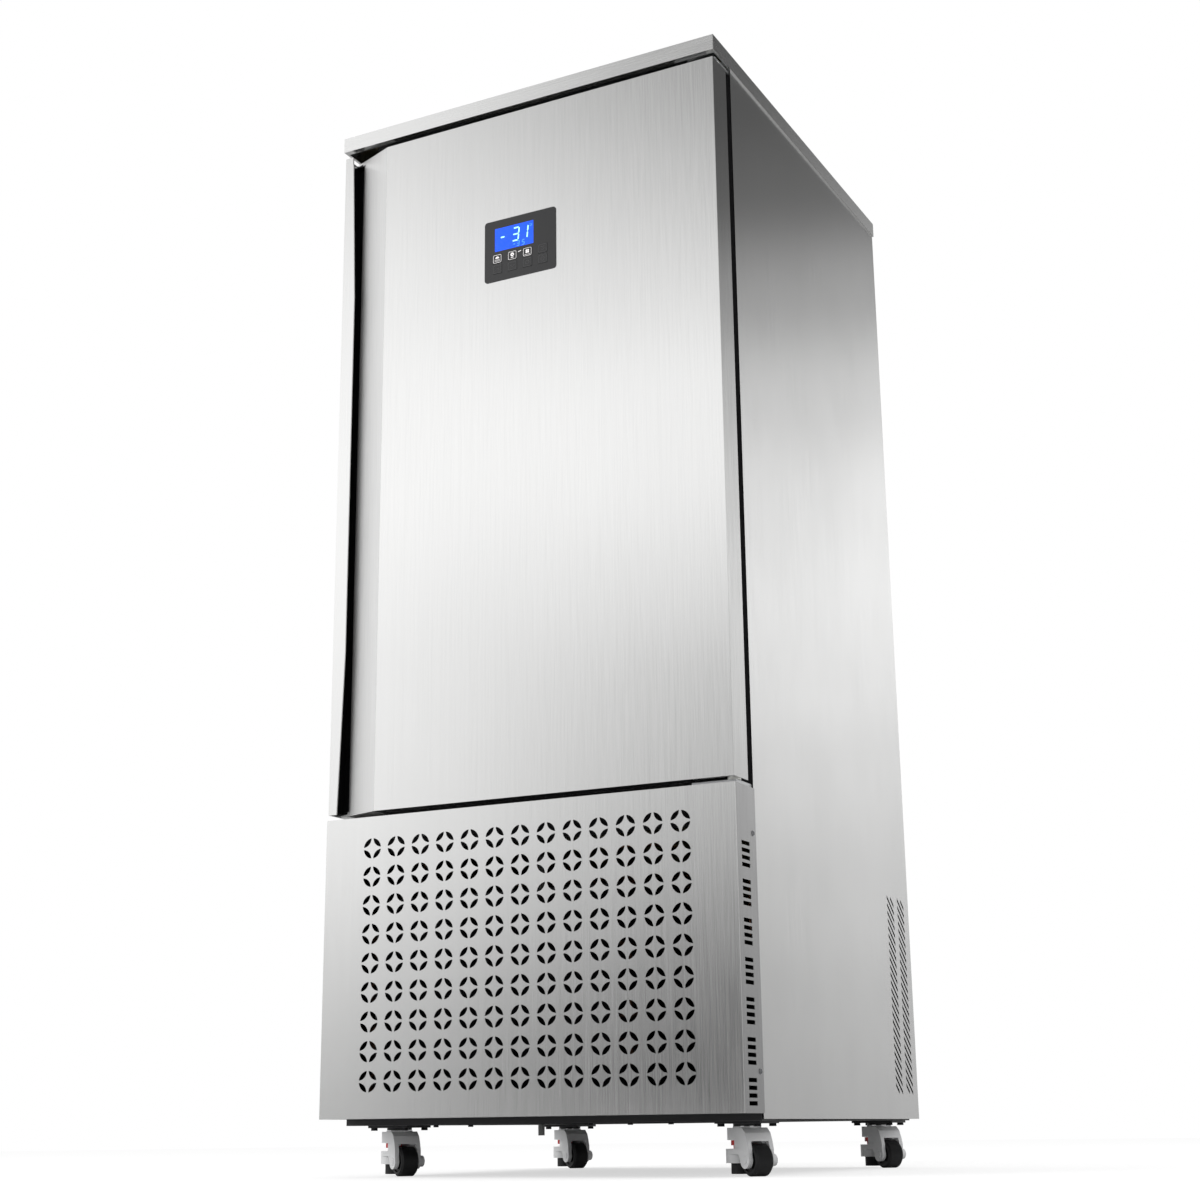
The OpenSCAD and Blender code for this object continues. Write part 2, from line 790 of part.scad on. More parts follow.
screw_z = [z_deck + 64, z_deck + 442];

module fasteners() {
    head_t = 1.4;
    color(dark) {
        // grille panel screws
        for (z = screw_z, x = [-panel_x - head_t, panel_x])
            along_x(x, head_t) translate([side_y - tuck / 2, z]) circle(d = 9);
        for (z = screw_z, x = [-panel_x, panel_x - side_step])
            along_x(x, side_step) translate([side_y - tuck / 2, z]) circle(d = 4);
        // caster bolts
        for (spot = caster_spots) bolt_spots(spot) translate([0, 0, plate_z - 4.5]) {
            cylinder(d = 13, h = 4.5, $fn = 6);
            cylinder(d = 8, h = 4.5 + plate_t);
        }
        // bolts under the front cross member
        for (x = frame_bolts) rod_z(x, base_y0 + cross_w / 2, caster_h - 4, 9, 4);
        // hinge bracket screws
        for (x = [-1, 1]) {
            rod_y(bracket_mid + x * bracket_w / 4, side_y - bracket_t - 3, low_screw_z, 11, 3);
            rod_y(bracket_mid + x * bracket_w / 4, side_y - bracket_t - 3, high_screw_z, 11, 3);
        }
    }
}

// ---- cold room -----------------------------------------------------------

module front_frame() {
    color(dark) along_y(side_y, rim_t) difference() {
        rect([-inner_x, foam_z - apron_h], [inner_x, z_cover]);
        rect([-room_x, room_z], [room_x, room_top]);
    }
    color(dark) span([-inner_x + 20, side_y, z_cover - eps], [inner_x - 20, side_y + rim_t, z_cover + rim_up]);
}

drain_x = -190;
drain_y = -12;
riser_x = -room_x + 40;
riser_y = room_y - 45;
riser_gap = 34;

module cabinet_foam() {
    color("khaki") difference() {
        span([-inner_x, foam_y, foam_z], [inner_x, foam_back, z_cover]);
        span([-room_x, foam_y - eps, room_z], [room_x, room_y, room_top]);
        rod_z(drain_x, drain_y, foam_z - eps, drain_d, floor_t + 2 * eps);
        rod_z(riser_x, riser_y, foam_z - eps, suction_d, floor_t + 2 * eps);
        rod_z(riser_x, riser_y - riser_gap, foam_z - eps, pipe_d, floor_t + 2 * eps);
    }
}

module inner_liner() {
    t = liner_t;
    color(bright) difference() {
        span([-room_x, foam_y, room_z], [room_x, room_y, room_top]);
        span([-room_x + t, foam_y - eps, room_z + t], [room_x - t, room_y - t, room_top - t]);
        rod_z(drain_x, drain_y, room_z - eps, drain_d + 20, t + 2 * eps);
        rod_z(riser_x, riser_y, room_z - eps, suction_d, t + 2 * eps);
        rod_z(riser_x, riser_y - riser_gap, room_z - eps, pipe_d, t + 2 * eps);
    }
}

rack_x = clear_x - peg_len - post_t - ledge_t;
ledge_y0 = side_y + ledge_front;
ledge_y1 = baffle_y - ledge_back;
ledge_z0 = clear_z + tray_low;
tray_levels = 1 + floor((clear_top - tray_top - ledge_z0) / tray_pitch);
post_y = [ledge_y0 + post_in, ledge_y1 - post_in - post_w];
post_over = 20;
post_z0 = ledge_z0 - ledge_leg - post_over;
post_z1 = ledge_z0 + (tray_levels - 1) * tray_pitch + post_over;

module tray_ledges() {
    color(bright) for (side = [-1, 1], i = [0 : tray_levels - 1]) {
        z = ledge_z0 + i * tray_pitch;
        x0 = side > 0 ? rack_x - ledge_w + ledge_t : -rack_x - ledge_t;
        x1 = side > 0 ? rack_x : -rack_x - ledge_t;
        span([x0, ledge_y0, z - ledge_t], [x0 + ledge_w, ledge_y1, z]);
        span([x1, ledge_y0, z - ledge_leg], [x1 + ledge_t, ledge_y1, z]);
    }
}

module rack_posts() {
    peg_in = 30;
    color(bright) for (side = [0, 1], y = post_y) mirror([side, 0, 0]) {
        x = rack_x + ledge_t;
        span([x, y, post_z0], [x + post_t, y + post_w, post_z1]);
        for (z = [post_z0 + peg_in, (post_z0 + post_z1) / 2, post_z1 - peg_in])
            translate([x + post_t - eps, y + post_w / 2, z]) rotate([0, 90, 0])
                cylinder(d = peg_d, h = peg_len + eps);
    }
}

baffle_z0 = room_z + baffle_gap;
baffle_z1 = room_top - baffle_gap;
evap_fan_z = [baffle_z0 + fan_end, (baffle_z0 + baffle_z1) / 2, baffle_z1 - fan_end];
fan_ring_t = 2;
evap_rotor_y = baffle_y + 4;

// Air ring round a fan, from plate to lip
module fan_ring(x, y, z, d, depth) along_y(y, depth) translate([x, z]) difference() {
    circle(d = d + 2 * fan_gap + 2 * fan_ring_t);
    circle(d = d + 2 * fan_gap);
}

// Guard in front of a fan, on six legs
module fan_guard(x, y, z, d) {
    wire = 3;
    rings = 3;
    reach = d / 2 + 14;
    along_y(y, wire) translate([x, z]) {
        for (i = [1 : rings]) difference() {
            circle(d = d * i / rings + wire);
            circle(d = d * i / rings - wire);
        }
        for (a = [0, 60, 120]) rotate(a) square([2 * reach, wire], center = true);
    }
    along_y(y + wire / 2, baffle_y - y) translate([x, z])
        for (a = [0 : 60 : 300]) rotate(a) translate([reach - wire, 0]) square(wire, center = true);
}

module fan_baffle() {
    guard_out = 9;
    ring_depth = 22;
    color(bright) {
        along_y(baffle_y, baffle_t) difference() {
            rect([-clear_x, baffle_z0], [clear_x, baffle_z1]);
            for (z = evap_fan_z) translate([0, z]) circle(d = evap_fan_d + 2 * fan_gap + fan_ring_t);
        }
        for (x0 = [-clear_x, clear_x - baffle_t])
            span([x0, baffle_y, baffle_z0], [x0 + baffle_t, baffle_y + baffle_flange, baffle_z1]);
        for (z = evap_fan_z) {
            fan_ring(0, baffle_y, z, evap_fan_d, ring_depth);
            fan_guard(0, baffle_y - guard_out, z, evap_fan_d);
        }
    }
}

// Fin block with the tube bends outside its end plates
module coil_block(x0, y0, z0, w, d, h) {
    tubes = floor(h / coil_tube_pitch) - 1;
    span([x0, y0, z0], [x0 + w, y0 + d, z0 + h]);
    for (side = [0, 1], i = [side : 2 : tubes - 2])
        translate([x0 + side * w, y0 + d / 2, z0 + (i + 1.5) * coil_tube_pitch])
            rotate([90, 0, 0]) rotate(90 - 180 * side) rotate_extrude(angle = 180)
                translate([coil_tube_pitch / 2, 0]) circle(d = coil_tube_d);
}

evap_x0 = -clear_x + evap_side;
evap_x1 = clear_x - evap_end - (coil_tube_pitch + coil_tube_d) / 2;
evap_w = evap_x1 - evap_x0;
evap_z0 = clear_z + evap_low;
evap_h = clear_top - evap_top - evap_z0;

module evaporator_coil() {
    leg_w = 40;
    leg_d = 30;
    leg_in = 20;
    color("lightsteelblue") {
        coil_block(evap_x0, coil_y, evap_z0, evap_w, evap_d, evap_h);
        for (x = [evap_x0 + leg_in, evap_x1 - leg_in - leg_w])
            span([x, coil_y + evap_d - leg_d, clear_z], [x + leg_w, coil_y + evap_d, evap_z0]);
    }
}

// Motor with its shaft towards -y and three arms back to the ring's plate
module fan_motor(x, y, z, ring_d, plate_y) {
    rod_y(x, y, z, motor_d, motor_len);
    rod_y(x, y - 30, z, shaft_d, 30 + eps);
    for (a = [90 : 120 : 330]) translate([x, y, z]) rotate([0, a, 0]) {
        translate([motor_d / 2 - 4, 6, -6]) cube([ring_d / 2 + 16 - motor_d / 2, 4, 12]);
        translate([ring_d / 2 + 8, plate_y - y, -6]) cube([4, y - plate_y + 10, 12]);
    }
}

// Hub and pitched blades of an axial fan
module fan_rotor(x, y, z, d, blades) {
    blade_pitch = 22;
    chord = 62;
    blade_t = 2;
    color(dark) translate([x, y + blade_d, z]) rotate([90, 0, 0]) difference() {
        union() {
            cylinder(d = hub_d, h = blade_d);
            for (i = [0 : blades - 1]) rotate(i * 360 / blades) intersection() {
                translate([hub_d / 2 - 5, 0, blade_d / 2]) rotate([blade_pitch, 0, 0])
                    translate([0, -chord / 2, -blade_t / 2]) cube([d, chord, blade_t]);
                cylinder(d = d, h = blade_d);
            }
        }
        translate([0, 0, -eps]) cylinder(d = shaft_d + run_fit, h = blade_d + 2 * eps);
    }
}

motor_y = evap_rotor_y + blade_d + 4;
cond_rotor_y = shroud_y + 8;
cond_motor_y = cond_rotor_y + blade_d + 4;

module fan_motors() {
    color(dark) {
        for (z = evap_fan_z)
            fan_motor(0, motor_y, z, evap_fan_d + 2 * fan_gap, baffle_y + baffle_t);
        fan_motor(cond_x, cond_motor_y, cond_z, cond_fan_d + 2 * fan_gap, shroud_y + shroud_d);
    }
}

// ---- machine room --------------------------------------------------------

module condenser_coil() {
    color("gray") coil_block(cond_x - cond_w / 2, cond_y, deck_z, cond_w, cond_d, cond_h);
}

module fan_shroud() {
    t = 1.5;
    color(dark) difference() {
        span([cond_x - cond_w / 2, shroud_y, deck_z],
             [cond_x + cond_w / 2, shroud_y + shroud_d, deck_z + cond_h]);
        span([cond_x - cond_w / 2 + t, shroud_y - eps, deck_z + t],
             [cond_x + cond_w / 2 - t, shroud_y + shroud_d - t, deck_z + cond_h - t]);
        rod_y(cond_x, shroud_y, cond_z, cond_fan_d + 2 * fan_gap, shroud_d + eps);
    }
}

module compressor() {
    dome_r = 30;
    shoulder = comp_d / 2 - dome_r;
    z0 = deck_z + comp_foot + comp_base;
    color(black) {
        span([comp_x - comp_d / 2, comp_y - comp_d / 2, z0 - comp_base],
             [comp_x + comp_d / 2, comp_y + comp_d / 2, z0]);
        translate([comp_x, comp_y, z0 - eps]) rotate_extrude($fn = 96) {
            square([comp_d / 2, comp_h - dome_r + eps]);
            square([shoulder, comp_h + eps]);
            translate([shoulder, comp_h - dome_r + eps]) intersection() {
                circle(dome_r);
                square(dome_r);
            }
        }
        for (x = [-1, 1], y = [-1, 1])
            rod_z(comp_x + x * (comp_d / 2 - 16), comp_y + y * (comp_d / 2 - 16), deck_z, 26, comp_foot);
    }
}

recv_x = cond_x + 10;
recv_y = comp_y;

module liquid_receiver() {
    dome_r = 20;
    color(black) {
        translate([recv_x, recv_y, deck_z]) rotate_extrude() {
            square([recv_d / 2, recv_h - dome_r]);
            square([recv_d / 2 - dome_r, recv_h]);
            translate([recv_d / 2 - dome_r, recv_h - dome_r]) intersection() {
                circle(dome_r);
                square(dome_r);
            }
        }
        span([recv_x - recv_d / 2, recv_y - 30, deck_z], [recv_x + recv_d / 2, recv_y + 30, deck_z + 3]);
    }
}

ebox_x = -inner_x + 8;
gland_x = ebox_x + ebox_w / 2;
gland_z = deck_z + 60;

module electrical_box() {
    y0 = foam_back - ebox_d;
    color(white) {
        span([ebox_x, y0, deck_z], [ebox_x + ebox_w, foam_back, deck_z + ebox_h]);
        span([ebox_x + 8, y0 - 3, deck_z + 8], [ebox_x + ebox_w - 8, y0 + eps, deck_z + ebox_h - 8]);
        rod_y(gland_x, foam_back - eps, gland_z, gland_d - 4, skin_t + eps);
        difference() {
            rod_y(gland_x, back_y, gland_z, gland_d, back_inset - 4);
            rod_y(gland_x, back_y + 2, gland_z, 10, back_inset);
        }
    }
}

module refrigerant_pipes() {
    bend = 25;
    comp_out = comp_x - 40;
    coil_mid = cond_y + cond_d / 2;
    cond_in = comp_out - 80;
    cond_out = cond_x - cond_w / 2 + 40;
    cond_top = deck_z + cond_h;
    comp_top = deck_z + comp_foot + comp_base + comp_h;
    recv_top = deck_z + recv_h;
    suction_z = foam_z - 36;
    line_z = suction_z - 24;
    inlet_z = evap_z0 + 120;
    outlet_row = 2 * floor((evap_h - 140) / (2 * coil_tube_pitch)) + 0.5;
    outlet_z = evap_z0 + outlet_row * coil_tube_pitch;
    liquid_y = riser_y - riser_gap;
    color(copper) {
        // discharge line, compressor to condenser
        tube([[comp_out, comp_y, comp_top], [comp_out, comp_y, line_z],
              [comp_out, coil_mid, line_z], [cond_in, coil_mid, line_z],
              [cond_in, coil_mid, cond_top]], pipe_d, bend);
        // liquid line, condenser to receiver
        tube([[cond_out, coil_mid, cond_top], [cond_out, coil_mid, line_z],
              [cond_out, recv_y - 20, line_z], [recv_x - 20, recv_y - 20, line_z],
              [recv_x - 20, recv_y - 20, recv_top]], pipe_d, bend);
        // liquid line, receiver to evaporator, with its filter drier
        tube([[recv_x + 20, recv_y, recv_top], [recv_x + 20, recv_y, line_z],
              [recv_x + 20, liquid_y, line_z], [riser_x, liquid_y, line_z],
              [riser_x, liquid_y, inlet_z], [evap_x0, liquid_y, inlet_z]], pipe_d, bend);
        rod_y(recv_x + 20, recv_y + 40, line_z, 40, 80);
        // suction line, evaporator to compressor
        tube([[evap_x0, riser_y, outlet_z], [riser_x, riser_y, outlet_z],
              [riser_x, riser_y, suction_z], [comp_x + 30, riser_y, suction_z],
              [comp_x + 30, comp_y, suction_z], [comp_x + 30, comp_y, comp_top]], suction_d, bend);
    }
}

drain_z = caster_h - drain_drop;

module drain_tube() {
    color(white) difference() {
        union() {
            rod_z(drain_x, drain_y, drain_z, drain_d, clear_z - drain_z);
            rod_z(drain_x, drain_y, room_z, drain_d + 20, liner_t);
        }
        rod_z(drain_x, drain_y, drain_z - eps, drain_d - 4, clear_z - drain_z + 2 * eps);
    }
}

// ---- hinges --------------------------------------------------------------

bracket_mid = hinge_x + 9 - bracket_w / 2;
low_screw_z = low_bracket_z + bracket_t - bracket_leaf_h / 2 - 6;
high_screw_z = high_bracket_z + bracket_leaf_h / 2 + 2;

// Flat leaf under or over the door, its screwed leaf on the front frame and its pin
module hinge_bracket(z, leaf_z, pin_z) {
    x0 = bracket_mid - bracket_w / 2;
    x1 = bracket_mid + bracket_w / 2;
    span([x0, hinge_y - 12, z], [x1, side_y, z + bracket_t]);
    span([x0, side_y - bracket_t, leaf_z], [x1, side_y, leaf_z + bracket_leaf_h]);
    rod_z(hinge_x, hinge_y, pin_z, hinge_pin_d, pin_len + eps);
}

module hinge_brackets() {
    color(bright) {
        low_top = low_bracket_z + bracket_t;
        hinge_bracket(low_bracket_z, low_top - bracket_leaf_h, low_top - eps);
        hinge_bracket(high_bracket_z, high_bracket_z, high_bracket_z - pin_len);
    }
}

// Bush in the door's bottom edge, flange down
module hinge_bush(flange_t) {
    difference() {
        union() {
            cylinder(d = bush_d, h = bush_len);
            translate([0, 0, -flange_t]) cylinder(d = bush_flange_d, h = flange_t);
        }
        translate([0, 0, -flange_t - eps])
            cylinder(d = hinge_pin_d + run_fit, h = bush_len + flange_t + 2 * eps);
    }
}

module hinge_bushes() {
    color(white) {
        translate([hinge_x, hinge_y, z_door])
            hinge_bush(z_door - low_bracket_z - bracket_t - bush_play);
        translate([hinge_x, hinge_y, z_lintel]) mirror([0, 0, 1])
            hinge_bush(high_bracket_z - z_lintel - bush_play);
    }
}

// ---- door ----------------------------------------------------------------

// A drawing of the door seen from above, y counted from its face
module door_slice(z, t) translate([0, face_y, z]) linear_extrude(t) children();

module bush_holes() for (z = [z_door - eps, z_lintel - bush_len])
    rod_z(hinge_x, hinge_y, z, bush_d, bush_len + eps);

module door_skin() {
    t = skin_t;
    cap_path = concat([[pull_x, door_t], ramp_far, ramp_low], [[bend_x, 0], [door_x, 0], [door_x, door_t]]);
    plug_path = concat([ramp_far, [pull_x, pocket_d], [pocket_x, pocket_d]], roll);
    color(steel) difference() {
        union() {
            door_slice(z_door, door_h) bent_sheet(door_path, t);
            for (z = [z_door, z_lintel - t]) door_slice(z, t) polygon(cap_path);
            for (z = [z_door, z_lintel - pocket_end]) door_slice(z, pocket_end) polygon(plug_path);
        }
        bush_holes();
        along_y(face_y - eps, t + 2 * eps) translate([0, ctrl_z])
            square([ctrl_w - 2 * ctrl_ledge, ctrl_h - 2 * ctrl_ledge], center = true);
    }
}

module door_pull() {
    z1 = z_lintel;
    w0 = -door_x + lip_w_end;
    w1 = -door_x + lip_w_mid;
    color(bright) {
        span([-door_x, face_y + lip_set, z_door], [pull_x, seal_y, z1]);
        along_y(face_y + lip_set, lip_t)
            polygon([[-door_x, z_door], [w0, z_door], [w1, z_door + lip_taper],
                     [w1, z1 - lip_taper], [w0, z1], [-door_x, z1]]);
    }
}

module door_foam() {
    t = skin_t;
    color("khaki") difference() {
        door_slice(z_door + t, door_h - 2 * t) intersection() {
            polygon(inner_path(door_path, t));
            rect([-door_x, -eps], [door_x, door_t - t]);
        }
        bush_holes();
        span([-ctrl_w / 2 + ctrl_ledge, face_y, ctrl_z - ctrl_h / 2 + ctrl_ledge],
             [ctrl_w / 2 - ctrl_ledge, face_y + ctrl_depth, ctrl_z + ctrl_h / 2 - ctrl_ledge]);
    }
}

module door_liner() {
    t = skin_t;
    x = seal_x - seal_w - plug_gap;
    z0 = seal_z0 + seal_w + plug_gap;
    z1 = seal_z1 - seal_w - plug_gap;
    color(bright) {
        span([pull_x + t, seal_y - t, z_door + t], [door_x - t, seal_y, z_lintel - t]);
        difference() {
            span([-x, seal_y - eps / 2, z0], [x, seal_y + plug_h, z1]);
            span([-x + t, seal_y - eps, z0 + t], [x - t, seal_y + plug_h - t, z1 - t]);
        }
    }
}

module door_gasket() {
    y1 = side_y - seal_gap;
    y_mid = (seal_y + y1) / 2;
    color(black) difference() {
        span([-seal_x, seal_y, seal_z0], [seal_x, y1, seal_z1]);
        span([-seal_x + seal_w, seal_y - eps, seal_z0 + seal_w], [seal_x - seal_w, y1 + eps, seal_z1 - seal_w]);
        for (y = [y_mid - 4, y_mid + 2]) difference() {
            span([-seal_x - eps, y, seal_z0 - eps], [seal_x + eps, y + 2, seal_z1 + eps]);
            span([-seal_x + bellows_d, y - eps, seal_z0 + bellows_d],
                 [seal_x - bellows_d, y + 2 + eps, seal_z1 - bellows_d]);
        }
    }
}

// ---- control panel -------------------------------------------------------

key_spots = [for (row = [0, 1], col = [0 : 3])
    [(col - 1.5) * key_dx, ctrl_z - key_low - row * key_dz]];
lens_z = ctrl_z + lcd_rise;
box_x = ctrl_w / 2 - ctrl_ledge;
box_z = ctrl_h / 2 - ctrl_ledge;
board_y = face_y + board_back;

module control_bezel() {
    y0 = face_y - ctrl_proud;
    t = ctrl_wall;
    color(black) {
        along_y(y0, ctrl_proud) difference() {
            translate([0, ctrl_z]) rounded(ctrl_w, ctrl_h, ctrl_r);
            translate([lcd_shift, lens_z]) square([lcd_w, lcd_h], center = true);
            for (k = key_spots) translate(k)
                square([key_w + 2 * key_gap, key_h + 2 * key_gap], center = true);
        }
        difference() {
            span([-box_x, face_y, ctrl_z - box_z], [box_x, face_y + ctrl_depth, ctrl_z + box_z]);
            span([-box_x + t, face_y - eps, ctrl_z - box_z + t],
                 [box_x - t, face_y + ctrl_depth - t, ctrl_z + box_z - t]);
        }
    }
}

module display_board() {
    color("royalblue") along_y(face_y - ctrl_proud, lcd_t) translate([lcd_shift, lens_z])
        square([lcd_w, lcd_h], center = true);
    color("darkgreen") {
        span([-box_x + ctrl_wall, board_y, ctrl_z - box_z + ctrl_wall],
             [box_x - ctrl_wall, board_y + board_t, ctrl_z + box_z - ctrl_wall]);
        span([lcd_shift - lcd_w / 2 + 4, face_y - ctrl_proud + lcd_t - eps / 2, lens_z - lcd_h / 2 + 4],
             [lcd_shift + lcd_w / 2 - 4, board_y + eps / 2, lens_z + lcd_h / 2 - 4]);
        for (k = key_spots) span([k[0] - 3, board_y - 4, k[1] - 3], [k[0] + 3, board_y + eps / 2, k[1] + 3]);
    }
}

module key_cap(i) {
    k = key_spots[i];
    rim_y = face_y + 0.3;
    stem_gap = 0.1;
    color(black) {
        span([k[0] - key_w / 2, face_y - ctrl_proud - key_proud, k[1] - key_h / 2],
             [k[0] + key_w / 2, rim_y + eps / 2, k[1] + key_h / 2]);
        span([k[0] - key_w / 2 - key_rim, rim_y, k[1] - key_h / 2 - key_rim],
             [k[0] + key_w / 2 + key_rim, rim_y + 1, k[1] + key_h / 2 + key_rim]);
        rod_y(k[0], rim_y + eps / 2, k[1], 6, board_y - 4 - key_travel - stem_gap - rim_y - eps / 2);
    }
}

// ---- drawing -------------------------------------------------------------

module caster_piece(part, spot) at_caster(spot) {
    if (part == "fork") fork_part();
    if (part == "wheel") wheel_part();
    if (part == "thumbwheel") thumb_part();
    if (part == "foot") foot_part();
}

base_frame();
caster_plates();
side_panel_left();
side_panel_right();
back_panel();
top_cover();
grille_panel();
fasteners();
front_frame();
cabinet_foam();
inner_liner();
rack_posts();
tray_ledges();
fan_baffle();
evaporator_coil();
fan_motors();
condenser_coil();
fan_shroud();
compressor();
liquid_receiver();
electrical_box();
refrigerant_pipes();
drain_tube();
hinge_brackets();
door_skin();
door_pull();
door_foam();
door_liner();
door_gasket();
hinge_bushes();
control_bezel();
display_board();
fan_rotor(0, evap_rotor_y, evap_fan_z[0], evap_fan_d, 5);  // evap_fan_low
fan_rotor(0, evap_rotor_y, evap_fan_z[1], evap_fan_d, 5);  // evap_fan_mid
fan_rotor(0, evap_rotor_y, evap_fan_z[2], evap_fan_d, 5);  // evap_fan_high
fan_rotor(cond_x, cond_rotor_y, cond_z, cond_fan_d, 5);  // condenser_fan
for (row = [0, 1], col = [0 : 3])
    key_cap(row * 4 + col);
for (spot = caster_spots, part = ["fork", "wheel", "thumbwheel", "foot"])
    caster_piece(part, spot);
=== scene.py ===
import json
import math
import bmesh
import bpy
from mathutils import Matrix, Vector


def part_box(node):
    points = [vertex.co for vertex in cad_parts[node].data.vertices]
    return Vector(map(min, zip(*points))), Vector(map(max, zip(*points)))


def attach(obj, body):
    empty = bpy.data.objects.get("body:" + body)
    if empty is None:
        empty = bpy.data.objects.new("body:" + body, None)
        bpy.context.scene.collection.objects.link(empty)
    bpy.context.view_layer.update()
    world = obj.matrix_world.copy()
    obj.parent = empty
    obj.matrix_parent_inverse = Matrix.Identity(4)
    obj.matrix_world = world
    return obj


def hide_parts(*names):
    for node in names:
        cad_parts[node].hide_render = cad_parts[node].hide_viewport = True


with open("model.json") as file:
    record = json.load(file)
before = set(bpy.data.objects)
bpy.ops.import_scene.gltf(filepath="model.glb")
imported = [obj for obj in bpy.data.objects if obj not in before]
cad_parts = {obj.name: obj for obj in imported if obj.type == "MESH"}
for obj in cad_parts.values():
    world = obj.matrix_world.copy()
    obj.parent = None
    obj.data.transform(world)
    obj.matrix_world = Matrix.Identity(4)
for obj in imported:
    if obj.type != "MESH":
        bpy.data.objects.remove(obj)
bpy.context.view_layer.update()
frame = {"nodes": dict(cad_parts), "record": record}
print("frame loaded")

# planes of the cabinet that several pieces share, in metres
cabinet = {
    "faceY": -0.4265,
    "doorBottom": 0.625,
    "doorTop": 1.934,
    "casterTrail": -34,
}

# the photo's viewing angle
photoCamera = {
    "place": (1.6037, -3.2439, 0.0734),
    "yaw": 0.4742,
    "pitch": 0.2704,
    "roll": -0.0113,
    "focalPixels": 1914.3,
    "imagePixels": 1200,
}


def makeCamera(values):
    yaw, pitch, roll = values["yaw"], values["pitch"], values["roll"]
    flat = math.cos(pitch)
    ahead = Vector((-math.sin(yaw) * flat, math.cos(yaw) * flat, math.sin(pitch)))
    level = Vector((math.cos(yaw), math.sin(yaw), 0))
    above = level.cross(ahead)
    right = math.cos(roll) * level + math.sin(roll) * above
    up = -math.sin(roll) * level + math.cos(roll) * above
    lens = bpy.data.cameras.new("photoCamera")
    lens.sensor_width = 36
    lens.lens = values["focalPixels"] / values["imagePixels"] * 36
    lens.clip_start, lens.clip_end = 0.05, 60
    camera = bpy.data.objects.new("photoCamera", lens)
    placed = Matrix((right, up, -ahead)).transposed().to_4x4()
    placed.translation = Vector(values["place"])
    camera.matrix_world = placed
    bpy.context.scene.collection.objects.link(camera)
    bpy.context.scene.camera = camera


makeCamera(photoCamera)
print("camera placed")


# shared parts of the finishes
def clearedTree(owner):
    owner.use_nodes = True
    owner.node_tree.nodes.clear()
    return owner.node_tree


def startMaterial(name):
    finish = bpy.data.materials.new(name)
    tree = clearedTree(finish)
    out = tree.nodes.new("ShaderNodeOutputMaterial")
    shader = tree.nodes.new("ShaderNodeBsdfPrincipled")
    tree.links.new(shader.outputs["BSDF"], out.inputs["Surface"])
    return finish, tree, shader


def shaderOf(finish):
    return next(n for n in finish.node_tree.nodes if n.bl_idname == "ShaderNodeBsdfPrincipled")


def feed(tree, socket, value):
    # another node's output is linked, and a plain value is set
    if isinstance(value, bpy.types.NodeSocket):
        tree.links.new(value, socket)
    else:
        socket.default_value = value


def ownPlace(tree):
    # the object's own X, Y and Z in metres
    place = tree.nodes.new("ShaderNodeTexCoord")
    split = tree.nodes.new("ShaderNodeSeparateXYZ")
    tree.links.new(place.outputs["Object"], split.inputs["Vector"])
    return split.outputs


def objectNoise(tree, scale, detail=2.0, rough=0.5):
    # noise in the object's own metres, stretched by the three scales
    place = tree.nodes.new("ShaderNodeTexCoord")
    stretch = tree.nodes.new("ShaderNodeMapping")
    stretch.inputs["Scale"].default_value = scale
    noise = tree.nodes.new("ShaderNodeTexNoise")
    noise.inputs["Scale"].default_value = 1.0
    noise.inputs["Detail"].default_value = detail
    noise.inputs["Roughness"].default_value = rough
    tree.links.new(place.outputs["Object"], stretch.inputs["Vector"])
    tree.links.new(stretch.outputs["Vector"], noise.inputs["Vector"])
    return noise.outputs["Fac"]


def spread(tree, value, low, high, fromLow=0.25, fromHigh=0.75):
    # the noise's usual middle range, spread from low to high
    span = tree.nodes.new("ShaderNodeMapRange")
    span.inputs["From Min"].default_value = fromLow
    span.inputs["From Max"].default_value = fromHigh
    span.inputs["To Min"].default_value = low
    span.inputs["To Max"].default_value = high
    tree.links.new(value, span.inputs["Value"])
    return span.outputs["Result"]


def blend(tree, factor, first, second):
    mix = tree.nodes.new("ShaderNodeMix")
    mix.data_type = "RGBA"
    feed(tree, mix.inputs["Factor"], factor)
    feed(tree, mix.inputs["A"], first)
    feed(tree, mix.inputs["B"], second)
    return mix.outputs["Result"]


def combined(tree, how, first, second):
    node = tree.nodes.new("ShaderNodeMath")
    node.operation = how
    feed(tree, node.inputs[0], first)
    feed(tree, node.inputs[1], second)
    return node.outputs["Value"]


def edgeMask(tree, radius=0.0012):
    # 1 along sharp edges, 0 on the flats
    rounded = tree.nodes.new("ShaderNodeBevel")
    rounded.samples = 4
    rounded.inputs["Radius"].default_value = radius
    flat = tree.nodes.new("ShaderNodeNewGeometry")
    dot = tree.nodes.new("ShaderNodeVectorMath")
    dot.operation = "DOT_PRODUCT"
    tree.links.new(rounded.outputs["Normal"], dot.inputs[0])
    tree.links.new(flat.outputs["Normal"], dot.inputs[1])
    return spread(tree, dot.outputs["Value"], 1.0, 0.0, 0.75, 0.99)


def bump(tree, shader, height, strength, distance):
    relief = tree.nodes.new("ShaderNodeBump")
    relief.inputs["Strength"].default_value = strength
    relief.inputs["Distance"].default_value = distance
    tree.links.new(height, relief.inputs["Height"])
    tree.links.new(relief.outputs["Normal"], shader.inputs["Normal"])


def rgba(colour, factor=1.0, lift=0.0):
    # the colour made darker or lighter, as a colour socket takes it
    return (*(min(1.0, c * factor + lift) for c in colour), 1.0)


